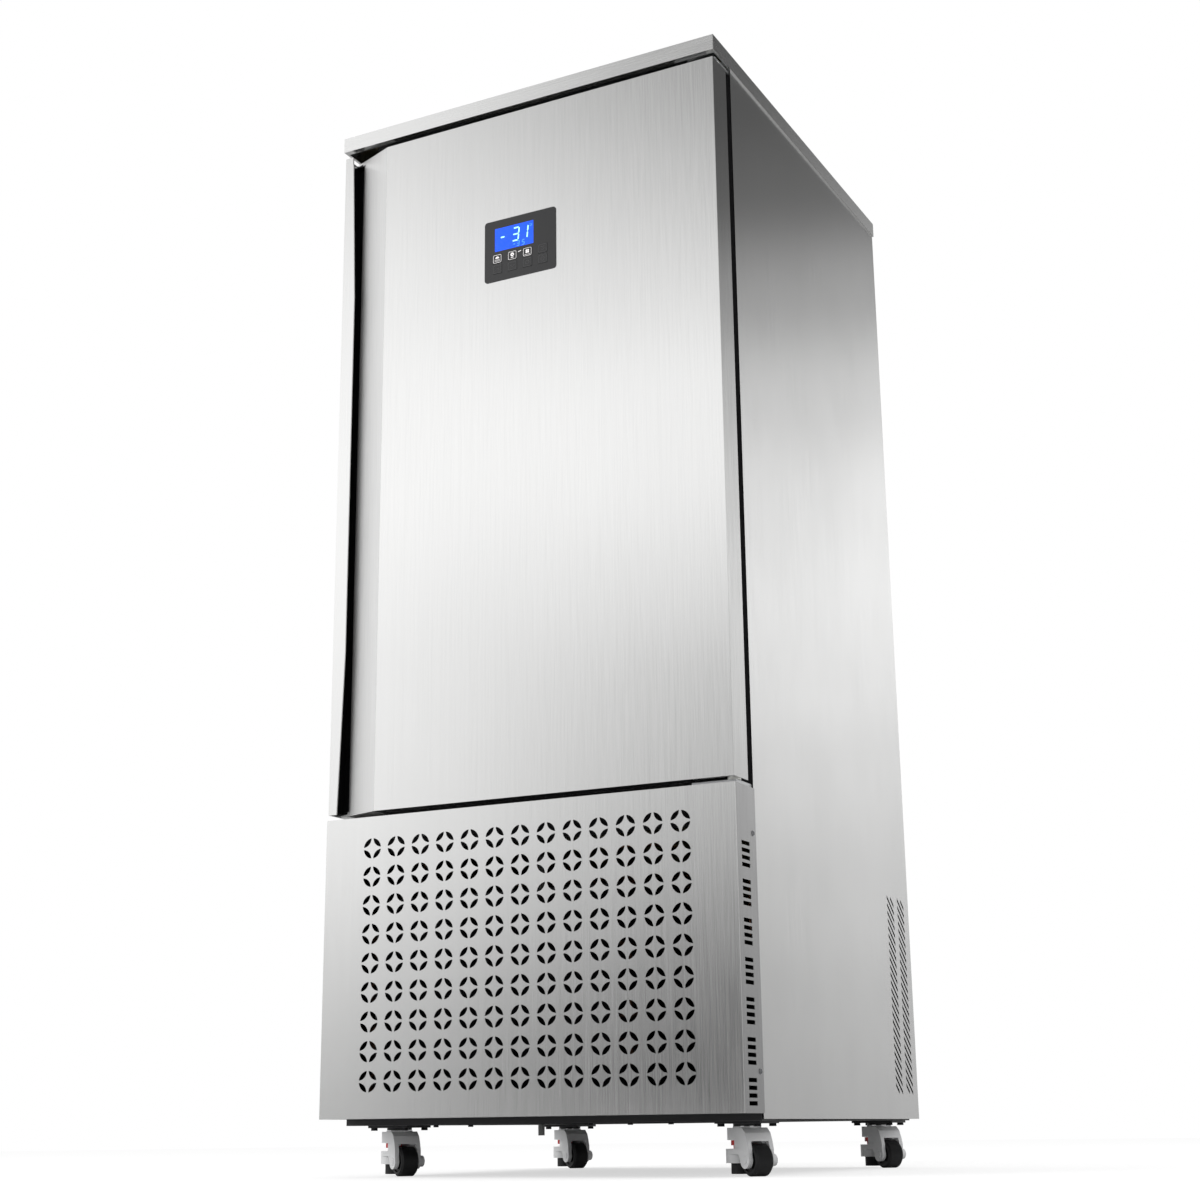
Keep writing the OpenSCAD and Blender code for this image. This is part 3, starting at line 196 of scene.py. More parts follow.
def brushedSteel(name, colour, roughness, grain, relief=0.12, anisotropy=0.55, smudge=0.05, turn=0.0):
    finish, tree, shader = startMaterial(name)
    fine = objectNoise(tree, grain, 3.0, 0.6)
    broad = objectNoise(tree, tuple(g * 0.16 for g in grain), 2.0)
    haze = objectNoise(tree, (3.0, 3.0, 2.0), 3.0)
    light = rgba(colour, 1.06)
    tone = blend(tree, spread(tree, fine, 0.0, 1.0), rgba(colour, 0.90), light)
    tone = blend(tree, spread(tree, broad, 0.0, 0.22), tone, light)
    tree.links.new(tone, shader.inputs["Base Color"])
    rough = combined(tree, "ADD", spread(tree, fine, roughness - 0.05, roughness + 0.06),
                     spread(tree, haze, 0.0, smudge))
    tree.links.new(rough, shader.inputs["Roughness"])
    shader.inputs["Metallic"].default_value = 1.0
    shader.inputs["Anisotropic"].default_value = anisotropy
    shader.inputs["Anisotropic Rotation"].default_value = turn
    along = tree.nodes.new("ShaderNodeTangent")
    along.direction_type = "RADIAL"
    along.axis = "Z"
    tree.links.new(along.outputs["Tangent"], shader.inputs["Tangent"])
    bump(tree, shader, fine, relief, 0.00006)
    return finish


def paintWhere(finish, colour, limits):
    # a second colour between limits on the object's own axes; each limit is axis, start, end
    tree = finish.node_tree
    shader = shaderOf(finish)
    axes = ownPlace(tree)
    mask = None
    for axis, start, end in limits:
        part = spread(tree, axes[axis], 0.0, 1.0, start, end)
        mask = combined(tree, "MULTIPLY", mask, part) if mask else part
    tone = shader.inputs["Base Color"].links[0].from_socket
    tree.links.new(blend(tree, mask, tone, rgba(colour)), shader.inputs["Base Color"])
    return finish


# where the door's slanted pull face begins and ends, how satin it is, how far its edges fade, and the near-black
# painted shade of the finger pocket on the skin: its fade, its ends and its colour
pullFace = {
    "edgeX": -0.2986,
    "edgeFade": 0.0012,
    "rollX": -0.3747,
    "rollFade": 0.001,
    "metallic": 0.5,
    "rougher": 0.14,
    "pocketFade": 0.0008,
    "pocketEnd": (0.003, 0.004),
    "pocketShadeColour": (0.008, 0.008, 0.009),
}


def satinPull(finish, v):
    # the pull's slanted face is blasted satin, so the pocket hardly shows in it
    tree = finish.node_tree
    shader = shaderOf(finish)
    x = ownPlace(tree)["X"]
    right = spread(tree, x, 1.0, 0.0, v["edgeX"] - v["edgeFade"], v["edgeX"])
    left = spread(tree, x, 0.0, 1.0, v["rollX"] - v["rollFade"], v["rollX"] + v["rollFade"])
    satin = combined(tree, "MULTIPLY", right, left)
    tree.links.new(spread(tree, satin, 1.0, v["metallic"], 0, 1), shader.inputs["Metallic"])
    rough = shader.inputs["Roughness"].links[0].from_socket
    rougher = spread(tree, satin, 0.0, v["rougher"], 0, 1)
    tree.links.new(combined(tree, "ADD", rough, rougher), shader.inputs["Roughness"])
    bottom, top = cabinet["doorBottom"], cabinet["doorTop"]
    near, far = v["pocketEnd"]
    # the finger pocket on the skin is painted near-black as painted shade, stopping 3 to 4 mm short of the door's
    # bottom and top
    return paintWhere(finish, v["pocketShadeColour"], (("X", v["rollX"], v["rollX"] - v["pocketFade"]),
                                                  ("Z", bottom + near, bottom + far), ("Z", top - near, top - far)))


def plainMetal(name, colour, roughness, grain=(220, 220, 220), wear=0.35):
    finish, tree, shader = startMaterial(name)
    fine = objectNoise(tree, grain, 4.0, 0.6)
    stain = objectNoise(tree, (14, 14, 14), 3.0)
    tone = blend(tree, spread(tree, fine, 0.0, 1.0), rgba(colour, 0.86), rgba(colour))
    tone = blend(tree, spread(tree, stain, 0.0, 0.25), tone, rgba(colour, 0.7))
    tone = blend(tree, spread(tree, edgeMask(tree), 0.0, wear, 0, 1), tone, rgba(colour, 1.25, 0.03))
    tree.links.new(tone, shader.inputs["Base Color"])
    tree.links.new(spread(tree, fine, roughness - 0.06, roughness + 0.1), shader.inputs["Roughness"])
    shader.inputs["Metallic"].default_value = 1.0
    bump(tree, shader, fine, 0.15, 0.0001)
    return finish


def paint(name, colour, roughness, peel=(260, 260, 260), relief=0.12, worn=(0.35, 0.35, 0.36), wear=0.25):
    finish, tree, shader = startMaterial(name)
    orange = objectNoise(tree, peel, 2.0)
    dust = objectNoise(tree, (9, 9, 9), 4.0, 0.6)
    tone = blend(tree, spread(tree, dust, 0.0, 1.0), rgba(colour, 0.88), rgba(colour, 1.08))
    tone = blend(tree, spread(tree, edgeMask(tree), 0.0, wear, 0, 1), tone, rgba(worn))
    tree.links.new(tone, shader.inputs["Base Color"])
    tree.links.new(spread(tree, dust, roughness - 0.05, roughness + 0.08), shader.inputs["Roughness"])
    bump(tree, shader, orange, relief, 0.0002)
    return finish


def moulded(name, colour, roughness, texture=(700, 700, 700), relief=0.2, coat=0.0):
    finish, tree, shader = startMaterial(name)
    grain = objectNoise(tree, texture, 3.0, 0.55)
    tint = objectNoise(tree, (12, 12, 12), 2.0)
    tone = blend(tree, spread(tree, tint, 0.0, 1.0), rgba(colour, 0.9), rgba(colour, 1.1))
    tree.links.new(tone, shader.inputs["Base Color"])
    tree.links.new(spread(tree, grain, roughness - 0.04, roughness + 0.07), shader.inputs["Roughness"])
    shader.inputs["Coat Weight"].default_value = coat
    bump(tree, shader, grain, relief, 0.00008)
    return finish


def lit(name, colour, glow):
    finish, tree, shader = startMaterial(name)
    cloud = objectNoise(tree, (60, 60, 60), 2.0)
    tone = blend(tree, spread(tree, cloud, 0.0, 1.0), rgba(colour, 0.93), rgba(colour))
    tree.links.new(tone, shader.inputs["Base Color"])
    tree.links.new(tone, shader.inputs["Emission Color"])
    shader.inputs["Emission Strength"].default_value = glow
    tree.links.new(spread(tree, cloud, 0.12, 0.2), shader.inputs["Roughness"])
    return finish


def pocketShadeFade(name, steelSide, shadeSide):
    # painted shade on the pocket's dark sheet: steel grey at the roll, darkening to near-black deeper inside the pocket
    finish, tree, shader = startMaterial(name)
    fade = spread(tree, ownPlace(tree)["X"], 1.0, 0.0, shadeSide, steelSide)
    grain = objectNoise(tree, (900, 900, 30), 3.0)
    grey = blend(tree, spread(tree, grain, 0.0, 1.0), rgba((0.30, 0.30, 0.30)), rgba((0.36, 0.36, 0.36)))
    tone = blend(tree, fade, grey, rgba((0.006, 0.006, 0.007)))
    tree.links.new(tone, shader.inputs["Base Color"])
    tree.links.new(spread(tree, grain, 0.42, 0.55), shader.inputs["Roughness"])
    shader.inputs["Specular IOR Level"].default_value = 0.25
    bump(tree, shader, grain, 0.1, 0.0001)
    return finish


def cabinetSteel(name):
    return brushedSteel(name, (0.80, 0.80, 0.795), 0.19, upright, anisotropy=0.9, smudge=0.03)


# brushing lines that run up the panels, and ones that run across the cover
upright = (1500, 1500, 9)
lengthways = (9, 1500, 1500)

# where a steel sheet takes painted shade: the right-hand sides of the door skin, top cover and grille flange darker,
# and the side panels near-black inward of their outer faces, on their insides and louvre cut edges; and the caster
# bolts below the plates, which are black
shadeAndBoltTones = {
    # painted shade on the door skin's right-hand return
    "doorSideShade": ((0.66, 0.66, 0.655), (("X", 0.3962, 0.3970),)),
    # painted shade on the top cover's right-hand side
    "coverSideShade": ((0.62, 0.62, 0.615), (("X", 0.3985, 0.3994),)),
    # painted shade: the side panels near-black inward of |X| 0.3963 m, on their insides and louvre cut edges
    "louvreInnerShade": ((0.012, 0.012, 0.013), (("X", -0.39645, -0.3963), ("X", 0.39645, 0.3963))),
    # painted shade on the grille panel's right-hand flange
    "grilleFlangeShade": ((0.45, 0.45, 0.45), (("Y", -0.4254, -0.4242), ("X", 0.3960, 0.3968))),
    "casterBolts": ((0.03, 0.03, 0.032), (("Z", 0.094, 0.091),)),
}
# the door's steel: satin pull face, and the finger pocket painted near-black as painted shade
steelDoor = satinPull(cabinetSteel("stainlessDoor"), pullFace)
steelTop = brushedSteel("stainlessTop", (0.82, 0.82, 0.815), 0.22, lengthways, anisotropy=0.8, turn=0.25)
screwZinc = plainMetal("screws", (0.52, 0.53, 0.55), 0.28, (900, 900, 900))
finishes = {
    "stainless": cabinetSteel("stainless"),
    # painted shade: the door's, cover's and grille's right-hand sides darker, the side panels near-black inside
    "stainlessDoor": paintWhere(steelDoor, *shadeAndBoltTones["doorSideShade"]),
    "stainlessTop": paintWhere(steelTop, *shadeAndBoltTones["coverSideShade"]),
    "stainlessSide": paintWhere(cabinetSteel("stainlessSide"), *shadeAndBoltTones["louvreInnerShade"]),
    "stainlessGrille": paintWhere(cabinetSteel("stainlessGrille"), *shadeAndBoltTones["grilleFlangeShade"]),
    "liner_steel": brushedSteel("liner_steel", (0.76, 0.77, 0.77), 0.33, (900, 14, 900), 0.08, 0.3),
    "screws": paintWhere(screwZinc, *shadeAndBoltTones["casterBolts"]),
    # the pocket sheet's painted shade, grey at the roll and near-black deeper in
    "pocket": pocketShadeFade("pocket", -0.3700, -0.3745),
}
plainMetals = {
    "zinc_plate": ((0.66, 0.67, 0.68), 0.32),
    "coil_fins": ((0.56, 0.58, 0.60), 0.42, (400, 400, 40), 0.15),
    "copper_pipe": ((0.72, 0.36, 0.22), 0.34, (120, 120, 120), 0.2),
    "copperDark": ((0.16, 0.09, 0.06), 0.45, (120, 120, 120), 0.1),
}
paints = {
    "black_steel": ((0.016, 0.016, 0.018), 0.42),
    "motor_paint": ((0.035, 0.036, 0.04), 0.45),
    "compressor_paint": ((0.012, 0.012, 0.013), 0.3),
    "fork_grey": ((0.86, 0.865, 0.87), 0.4, (500, 500, 500), 0.1, (0.88, 0.88, 0.89), 0.4),
    "condenserBlack": ((0.03, 0.031, 0.033), 0.45, (400, 400, 40), 0.1, (0.10, 0.10, 0.10), 0.15),
}
plastics = {
    "frame_plastic": ((0.018, 0.018, 0.02), 0.5),
    "foam": ((0.72, 0.62, 0.36), 0.85, (160, 160, 160), 0.5),
    "box_plastic": ((0.58, 0.59, 0.58), 0.5),
    "gasket_rubber": ((0.02, 0.02, 0.021), 0.62, (420, 420, 420), 0.3),
    "nylon": ((0.82, 0.82, 0.78), 0.4),
    "control_black": ((0.010, 0.010, 0.011), 0.2, (500, 500, 500), 0.03, 0.3),
    "legendDim": ((0.075, 0.075, 0.078), 0.4),
    "fan_plastic": ((0.02, 0.02, 0.022), 0.42),
    "wheel_black": ((0.014, 0.014, 0.015), 0.48, (600, 600, 600), 0.3),
    "thumb_red": ((0.62, 0.02, 0.02), 0.33, (500, 500, 500), 0.08, 0.2),
    "foot_rubber": ((0.02, 0.02, 0.021), 0.6, (420, 420, 420), 0.35),
    "filterMat": ((0.012, 0.012, 0.013), 0.8, (420, 420, 420), 0.6),
}
lights = {
    "display": ((0.0, 0.075, 0.80), 0.75),
    "digitLight": ((0.42, 0.93, 1.0), 1.0),
    "digitDim": ((0.10, 0.42, 0.95), 0.8),
    "legendLight": ((0.78, 0.76, 0.76), 0.55),
}
for maker, kinds in ((plainMetal, plainMetals), (paint, paints), (moulded, plastics), (lit, lights)):
    for name, values in kinds.items():
        finishes[name] = maker(name, *values)
print("materials made")


# width of the softened edges on the CAD nodes, by name or by how the name begins or ends
softEdges = {
    "top_cover": 0.0012, "door_skin": 0.0007, "door_pull": 0.0008, "base_frame": 0.0008, "back_panel": 0.0004,
    "hinge_brackets": 0.0006, "control_bezel": 0.0004, "front_frame": 0.0006, "door_liner": 0.0012,
    "electrical_box": 0.0015, "caster_plates": 0.0006, "fan_shroud": 0.0008,
}
softStarts = {"key_": 0.0003}
softEnds = {"_fork": 0.0009, "_foot": 0.0012, "_thumbwheel": 0.0005}

# nodes whose steel or paint has its own version
ownFinish = {
    "top_cover": "stainlessTop",
    "door_skin": "stainlessDoor",
    "grille_panel": "stainlessGrille",
    "side_panel_left": "stainlessSide",
    "side_panel_right": "stainlessSide",
    "caster_plates": "black_steel",
}


def softWidth(node):
    if node in softEdges:
        return softEdges[node]
    widths = [width for start, width in softStarts.items() if node.startswith(start)]
    widths += [width for end, width in softEnds.items() if node.endswith(end)]
    return widths[0] if widths else 0.0


def soften(thing, width):
    soft = thing.modifiers.new("softEdge", "BEVEL")
    soft.width = width
    soft.segments = 2
    soft.limit_method = "ANGLE"
    soft.angle_limit = math.radians(35)


def finishNode(name, thing, slotName):
    thing.data.materials.clear()
    thing.data.materials.append(finishes[ownFinish.get(name, slotName)])
    if softWidth(name):
        soften(thing, softWidth(name))


slotOf = {part["node"]: part["material_slot"] for part in frame["record"]["subparts"]}
for node, thing in frame["nodes"].items():
    finishNode(node, thing, slotOf[node])
print("CAD nodes finished")


def addPiece(name, shape, finish, body, bevel=0.0, smooth=False):
    mesh = bpy.data.meshes.new(name)
    bmesh.ops.recalc_face_normals(shape, faces=shape.faces)
    shape.to_mesh(mesh)
    shape.free()
    mesh.materials.append(finishes[finish])
    if smooth:
        mesh.shade_smooth()
        mesh.set_sharp_from_angle(angle=math.radians(35))
    piece = bpy.data.objects.new(name, mesh)
    bpy.context.scene.collection.objects.link(piece)
    if bevel:
        soften(piece, bevel)
    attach(piece, body)
    return piece


def block(shape, low, high):
    xs, ys, zs = zip(low, high)
    v = [shape.verts.new((x, y, z)) for x in xs for y in ys for z in zs]
    for a, b, c, d in ((0, 1, 3, 2), (4, 6, 7, 5), (0, 4, 5, 1), (2, 3, 7, 6), (0, 2, 6, 4), (1, 5, 7, 3)):
        shape.faces.new((v[a], v[b], v[c], v[d]))


def prism(shape, outline, place, thickness):
    # a flat outline made thick; place turns (u, v, depth) into the frame
    front = [shape.verts.new(place(u, v, 0.0)) for u, v in outline]
    rear = [shape.verts.new(place(u, v, thickness)) for u, v in outline]
    shape.faces.new(front)
    shape.faces.new(reversed(rear))
    count = len(outline)
    for i in range(count):
        j = (i + 1) % count
        shape.faces.new((front[i], rear[i], rear[j], front[j]))


def turned(shape, profile, place, steps=48):
    # a profile of (radius, height) turned round an axis; radius 0 closes an end
    bearings = [2 * math.pi * k / steps for k in range(steps)]
    rings = []
    for radius, height in profile:
        if radius <= 1e-7:
            rings.append([shape.verts.new(place(0.0, 0.0, height))])
        else:
            rings.append([shape.verts.new(place(radius * math.cos(b), radius * math.sin(b), height)) for b in bearings])
    for low, high in zip(rings, rings[1:]):
        for k in range(steps):
            n = (k + 1) % steps
            if len(low) == 1 and len(high) > 1:
                shape.faces.new((low[0], high[k], high[n]))
            elif len(high) == 1 and len(low) > 1:
                shape.faces.new((low[k], low[n], high[0]))
            elif len(low) > 1:
                shape.faces.new((low[k], low[n], high[n], high[k]))


def ringed(shape, profile, place, steps=48):
    # a closed profile turned round an axis
    turned(shape, profile + profile[:1], place, steps)


def onFace(y):
    # outline drawn on a panel that faces -Y, thickness going back into it
    return lambda u, v, depth: Vector((u, y + depth, v))


def rectangle(cx, cz, width, height):
    return [(cx - width / 2, cz - height / 2), (cx + width / 2, cz - height / 2),
            (cx + width / 2, cz + height / 2), (cx - width / 2, cz + height / 2)]


print("helpers ready")

# dark sheet in the finger pocket behind the pull, standing in for the pocket's shade and dark reflections, seen from
# above: X, and Y behind the cabinet's face
pullShadeSheet = {
    "wallX": -0.3945,
    "pocketX": -0.3750,
    "pocketDepth": 0.046,
    "lipBack": 0.0046,
    "rollCentre": (-0.3580, 0.04075),
    "rollRadius": 0.017,
    "rollEnd": 222,
    "rollSteps": 8,
    "clear": 0.00035,
    "thick": 0.0009,
    "endGap": 0.0084,
}


def makePullShadeSheet(v):
    def path(inset):
        left = v["wallX"] + inset
        right = v["pocketX"] - inset
        deep = v["pocketDepth"] - inset
        points = [(left, v["lipBack"]), (left, deep), (right, deep)]
        cx, cy = v["rollCentre"]
        radius = v["rollRadius"] + inset
        for step in range(v["rollSteps"] + 1):
            angle = math.radians(180 + (v["rollEnd"] - 180) * step / v["rollSteps"])
            points.append((cx + radius * math.cos(angle), cy + radius * math.sin(angle)))
        return points

    outer, inner = path(v["clear"]), path(v["clear"] + v["thick"])
    bottom, top = cabinet["doorBottom"] + v["endGap"], cabinet["doorTop"] - v["endGap"]
    shape = bmesh.new()
    place = lambda u, w, height: Vector((u, cabinet["faceY"] + w, bottom + height))
    prism(shape, outer + inner[::-1], place, top - bottom)
    addPiece("pull_shade_sheet", shape, "pocket", "door")


# the finger pocket gets a dark sheet as its painted shade
makePullShadeSheet(pullShadeSheet)
print("door pull lined")

display = {
    "centre": (-0.0124, 1.6753),
    "faceY": -0.4277,
    "proud": 0.00012,
    "bigHeight": 0.0255,
    "bigWidth": 0.0125,
    "bigStroke": 0.0026,
    "smallHeight": 0.0095,
    "smallWidth": 0.0048,
    "smallStroke": 0.0009,
    "dashShare": 0.8,
    "slant": 0.10,
    "segmentGap": 0.22,
    # each sign and its place from the display's centre
    "bigSigns": (("-", -0.0245), ("3", 0.0035), ("1", 0.0225)),
    "bigZ": 0.0035,
    "smallSigns": (("-", 0.0005), ("3", 0.0085), ("5", 0.0195)),
    "smallZ": -0.0162,
    # three strokes at the upper right: centre from the display's centre, width, height
    "strokes": ((0.0345, 0.0165, 0.0028, 0.0008), (0.0375, 0.0150, 0.0008, 0.0040), (0.0345, 0.0130, 0.0028, 0.0008)),
}
segmentsOf = {"1": "bc", "3": "abgcd", "5": "afgcd", "-": "g"}


def segment(shape, start, end, stroke, place, thickness, gap):
    along = (Vector(end) - Vector(start)).normalized()
    aside = Vector((-along.y, along.x))
    a = Vector(start) + along * gap
    b = Vector(end) - along * gap
    half = stroke / 2
    outline = [a, a + along * half + aside * half, b - along * half + aside * half,
               b, b - along * half - aside * half, a + along * half - aside * half]
    prism(shape, [(p.x, p.y) for p in outline], place, thickness)


def digit(shape, sign, x, z, width, height, stroke, place, thickness):
    slant = display["slant"]

    def at(u, w):
        return (x + u * width / 2 + w * height / 2 * slant, z + w * height / 2)

    ends = {"a": ((-1, 1), (1, 1)), "b": ((1, 1), (1, 0)), "c": ((1, 0), (1, -1)), "d": ((-1, -1), (1, -1)),
            "f": ((-1, 1), (-1, 0)), "g": ((-1, 0), (1, 0))}
    for name in segmentsOf[sign]:
        first, last = ends[name]
        segment(shape, at(*first), at(*last), stroke, place, thickness, stroke * display["segmentGap"])


def makeDisplay(v):
    cx, cz = v["centre"]
    face = onFace(v["faceY"] - v["proud"])
    thickness = v["proud"] * 2
    big = bmesh.new()
    for sign, x in v["bigSigns"]:
        width = v["bigWidth"] * (v["dashShare"] if sign == "-" else 1.0)
        digit(big, sign, cx + x, cz + v["bigZ"], width, v["bigHeight"], v["bigStroke"], face, thickness)
    addPiece("display_digits", big, "digitLight", "door")
    small = bmesh.new()
    for sign, x in v["smallSigns"]:
        digit(small, sign, cx + x, cz + v["smallZ"], v["smallWidth"], v["smallHeight"], v["smallStroke"], face,
              thickness)
    for x, z, width, height in v["strokes"]:
        prism(small, rectangle(cx + x, cz + z, width, height), face, thickness)
    addPiece("display_small_signs", small, "digitDim", "door")


makeDisplay(display)
print("display made")

# outline and sign on each key cap
keyArt = {
    "columns": (-0.048, -0.016, 0.016, 0.048),
    "rows": {"top": 1.637, "bottom": 1.616},
    "litKeys": (0, 1, 2),
    "capY": -0.4283,
    "half": (0.0086, 0.0080),
    "corner": 0.0025,
    "line": 0.0007,
    "proud": 0.00008,
    # a bright dash above the keys: start, end and width
    "dash": (-0.0032, 1.6415, 0.0020, 1.6428, 0.0013),
    "dashY": -0.4277,
}


def roundedLoop(cx, cz, halfWidth, halfHeight, radius, steps=5):
    points = []
    for sx, sz, start in ((1, 1, 0), (-1, 1, 90), (-1, -1, 180), (1, -1, 270)):
        for k in range(steps + 1):
            angle = math.radians(start + 90 * k / steps)
            points.append((cx + sx * (halfWidth - radius) + radius * math.cos(angle),
                           cz + sz * (halfHeight - radius) + radius * math.sin(angle)))
    return points


def frameLine(shape, outer, inner, place, thickness):
    count = len(outer)
    front = [[shape.verts.new(place(u, v, 0)) for u, v in loop] for loop in (outer, inner)]
    rear = [[shape.verts.new(place(u, v, thickness)) for u, v in loop] for loop in (outer, inner)]
    for i in range(count):
        j = (i + 1) % count
        shape.faces.new((front[0][i], front[0][j], front[1][j], front[1][i]))
        shape.faces.new((rear[0][i], rear[1][i], rear[1][j], rear[0][j]))
        shape.faces.new((front[0][i], rear[0][i], rear[0][j], front[0][j]))
        shape.faces.new((front[1][i], front[1][j], rear[1][j], rear[1][i]))


def disc(cx, cz, radius, steps=20, start=0, sweep=360):
    count = steps if sweep == 360 else steps + 1
    return [(cx + radius * math.cos(math.radians(start + sweep * k / steps)),
             cz + radius * math.sin(math.radians(start + sweep * k / steps))) for k in range(count)]


def bar(x0, z0, x1, z1, width):
    along = Vector((x1 - x0, z1 - z0)).normalized() * width / 2
    aside = Vector((-along.y, along.x))
    return [(x0 - along.x - aside.x, z0 - along.y - aside.y), (x1 + along.x - aside.x, z1 + along.y - aside.y),
            (x1 + along.x + aside.x, z1 + along.y + aside.y), (x0 - along.x + aside.x, z0 - along.y + aside.y)]


def keySign(shape, number, cx, cz, place, thickness, line):
    def solid(outline):
        prism(shape, outline, place, thickness)

    def level(half, z, width=line):
        solid(bar(cx - half, cz + z, cx + half, cz + z, width))

    def roof(half, low, high):    # two strokes that meet in the middle
        solid(bar(cx - half, cz + low, cx, cz + high, line))
        solid(bar(cx, cz + high, cx + half, cz + low, line))

    def ring(z, outer, inner):
        frameLine(shape, disc(cx, cz + z, outer), disc(cx, cz + z, inner), place, thickness)

    if number == 0:      # cooling: dome over two lines
        solid(disc(cx, cz + 0.0005, 0.0042, 14, 0, 180))
        level(0.005, -0.0022)
        level(0.005, -0.0046)
    elif number == 1:    # lamp: ring with a foot
        ring(0.0018, 0.0038, 0.0012)
        level(0.0022, -0.0040, line * 2)
    elif number == 2:    # fan: four blades over a line
        for turn in (45, 135, 225, 315):
            a = math.radians(turn)
            solid(disc(cx + 0.0026 * math.cos(a), cz + 0.0012 + 0.0026 * math.sin(a), 0.0019, 10))
        level(0.0055, -0.0050)
    elif number == 3:    # two chevrons that point down
        for z in (0.0022, -0.0024):
            roof(0.0038, z + 0.0018, z - 0.0012)
    elif number == 4:    # up
        roof(0.0042, -0.0018, 0.0024)
    elif number == 5:    # down
        roof(0.0042, 0.0018, -0.0024)
    elif number == 6:    # clock
        ring(0.0, 0.0040, 0.0032)
        solid(bar(cx, cz, cx, cz + 0.0022, line))
        solid(bar(cx, cz, cx + 0.0018, cz, line))
    else:                # switch: ring with a stroke at its top
        ring(0.0, 0.0042, 0.0034)
        solid(bar(cx, cz + 0.0012, cx, cz + 0.0056, line))


def makeKeyArt(v):
    place = onFace(v["capY"] - v["proud"])
    thickness = v["proud"] * 2
    (hw, hh), line, corner = v["half"], v["line"], v["corner"]
    spots = [(x, z, "key_%s_%d" % (row, k + 1)) for row, z in v["rows"].items() for k, x in enumerate(v["columns"])]
    for number, (cx, cz, body) in enumerate(spots):
        shape = bmesh.new()
        frameLine(shape, roundedLoop(cx, cz, hw, hh, corner),
                  roundedLoop(cx, cz, hw - line, hh - line, corner - line * 0.8), place, thickness)
        keySign(shape, number, cx, cz, place, thickness, line)
        addPiece(body + "_sign", shape, "legendLight" if number in v["litKeys"] else "legendDim", body)
    dash = bmesh.new()
    prism(dash, bar(*v["dash"]), onFace(v["dashY"] - v["proud"]), thickness)
    addPiece("panel_dash", dash, "legendLight", "door")


makeKeyArt(keyArt)
print("key signs made")

# fins and tubes stand in for the plain coil blocks
condenserFins = {
    "node": "condenser_coil",
    "fins": "condenserBlack",
    "tubes": "copperDark",
    "pitch": 0.0036,
    "rows": 2,
    "legs": 0.0,
}
evaporatorFins = {
    "node": "evaporator_coil",
    "fins": "coil_fins",
    "tubes": "copper_pipe",
    "pitch": 0.0052,
    "rows": 3,
    "legs": 0.070,
}
coilSizes = {
    "fin": 0.0003,
    "finInset": 0.001,
    "plate": 0.0015,
    "rail": 0.012,
    "tube": 0.010,
    "tubePitch": 0.040,
    "tubeOut": 0.003,
    "bend": 0.025,
    "bendSteps": 10,
    "tubeSides": 12,
    # angle brackets that the evaporator stands on
    "legWidth": 0.040,
    "legDepth": 0.030,
    "legSheet": 0.002,
    "legLap": 0.004,
    "legIn": 0.020,
}


def makeFins(v, c):
    low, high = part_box(v["node"])
    x0, x1 = low[0] + c["bend"], high[0] - c["bend"]
    z0 = low[2] + v["legs"]
    y0, y1, z1 = low[1], high[1], high[2]
    plate, rail, inset = c["plate"], c["rail"], c["finInset"]
    fins = bmesh.new()
    count = int((x1 - x0 - 2 * plate) / v["pitch"])
    for k in range(1, count):
        x = x0 + plate + k * v["pitch"]
        block(fins, (x, y0 + inset, z0 + inset), (x + c["fin"], y1 - inset, z1 - inset))
    for x in (x0, x1 - plate):
        block(fins, (x, y0, z0), (x + plate, y1, z1))
        block(fins, (x, y0, z1 - plate), (x + (rail if x == x0 else plate), y1, z1))
    for y in (y0, y1 - plate):
        block(fins, (x0, y, z0), (x1, y + plate, z0 + rail))
        block(fins, (x0, y, z1 - rail), (x1, y + plate, z1))
    if v["legs"]:
        width, back, sheet, lap = c["legWidth"], y1 - c["legDepth"], c["legSheet"], z0 + c["legLap"]
        for x in (x0 + c["legIn"], x1 - c["legIn"] - width):
            block(fins, (x, back, low[2]), (x + width, back + sheet, lap))
            block(fins, (x, y1 - sheet, low[2]), (x + width, y1, lap))
            block(fins, (x, back, low[2]), (x + width, y1, low[2] + sheet))
    piece = addPiece(v["node"] + "_fins", fins, v["fins"], "cabinet")
    tubes = bmesh.new()
    pitch, radius, sides = c["tubePitch"], c["tube"] / 2, c["tubeSides"]
    levels = int((z1 - z0) / pitch) - 1
    first, last = x0 - c["tubeOut"], x1 + c["tubeOut"]
    for row in range(v["rows"]):
        y = y0 + (y1 - y0) * (row + 0.5) / v["rows"]
        for k in range(levels):
            z = z0 + (k + 1) * pitch
            turned(tubes, [(0, first), (radius, first), (radius, last), (0, last)],
                   lambda a, b, h, y=y, z=z: Vector((h, y + a, z + b)), sides)
            if k + 1 < levels:
                x, outward = (x1, 1) if k % 2 else (x0, -1)
                hairpin(tubes, x, outward, y, z, pitch, radius, c["bendSteps"], sides)
    addPiece(v["node"] + "_tubes", tubes, v["tubes"], "cabinet", smooth=True)
    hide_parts(v["node"])


def hairpin(shape, x, direction, y, z, pitch, radius, steps, sides):
    rings = []
    aside = Vector((0, 1, 0))
    for k in range(steps + 1):
        angle = math.pi * k / steps
        outward = Vector((direction * math.sin(angle), 0, -math.cos(angle)))
        centre = Vector((x, y, z + pitch / 2)) + outward * pitch / 2
        ring = []
        for side in range(sides):
            a = 2 * math.pi * side / sides
            ring.append(shape.verts.new(centre + outward * radius * math.cos(a) + aside * radius * math.sin(a)))
        rings.append(ring)
    for low, high in zip(rings, rings[1:]):
        for k in range(sides):
            n = (k + 1) % sides
            shape.faces.new((low[k], low[n], high[n], high[k]))
    shape.faces.new(rings[0])
    shape.faces.new(reversed(rings[-1]))


makeFins(condenserFins, coilSizes)
makeFins(evaporatorFins, coilSizes)
print("coils finned")

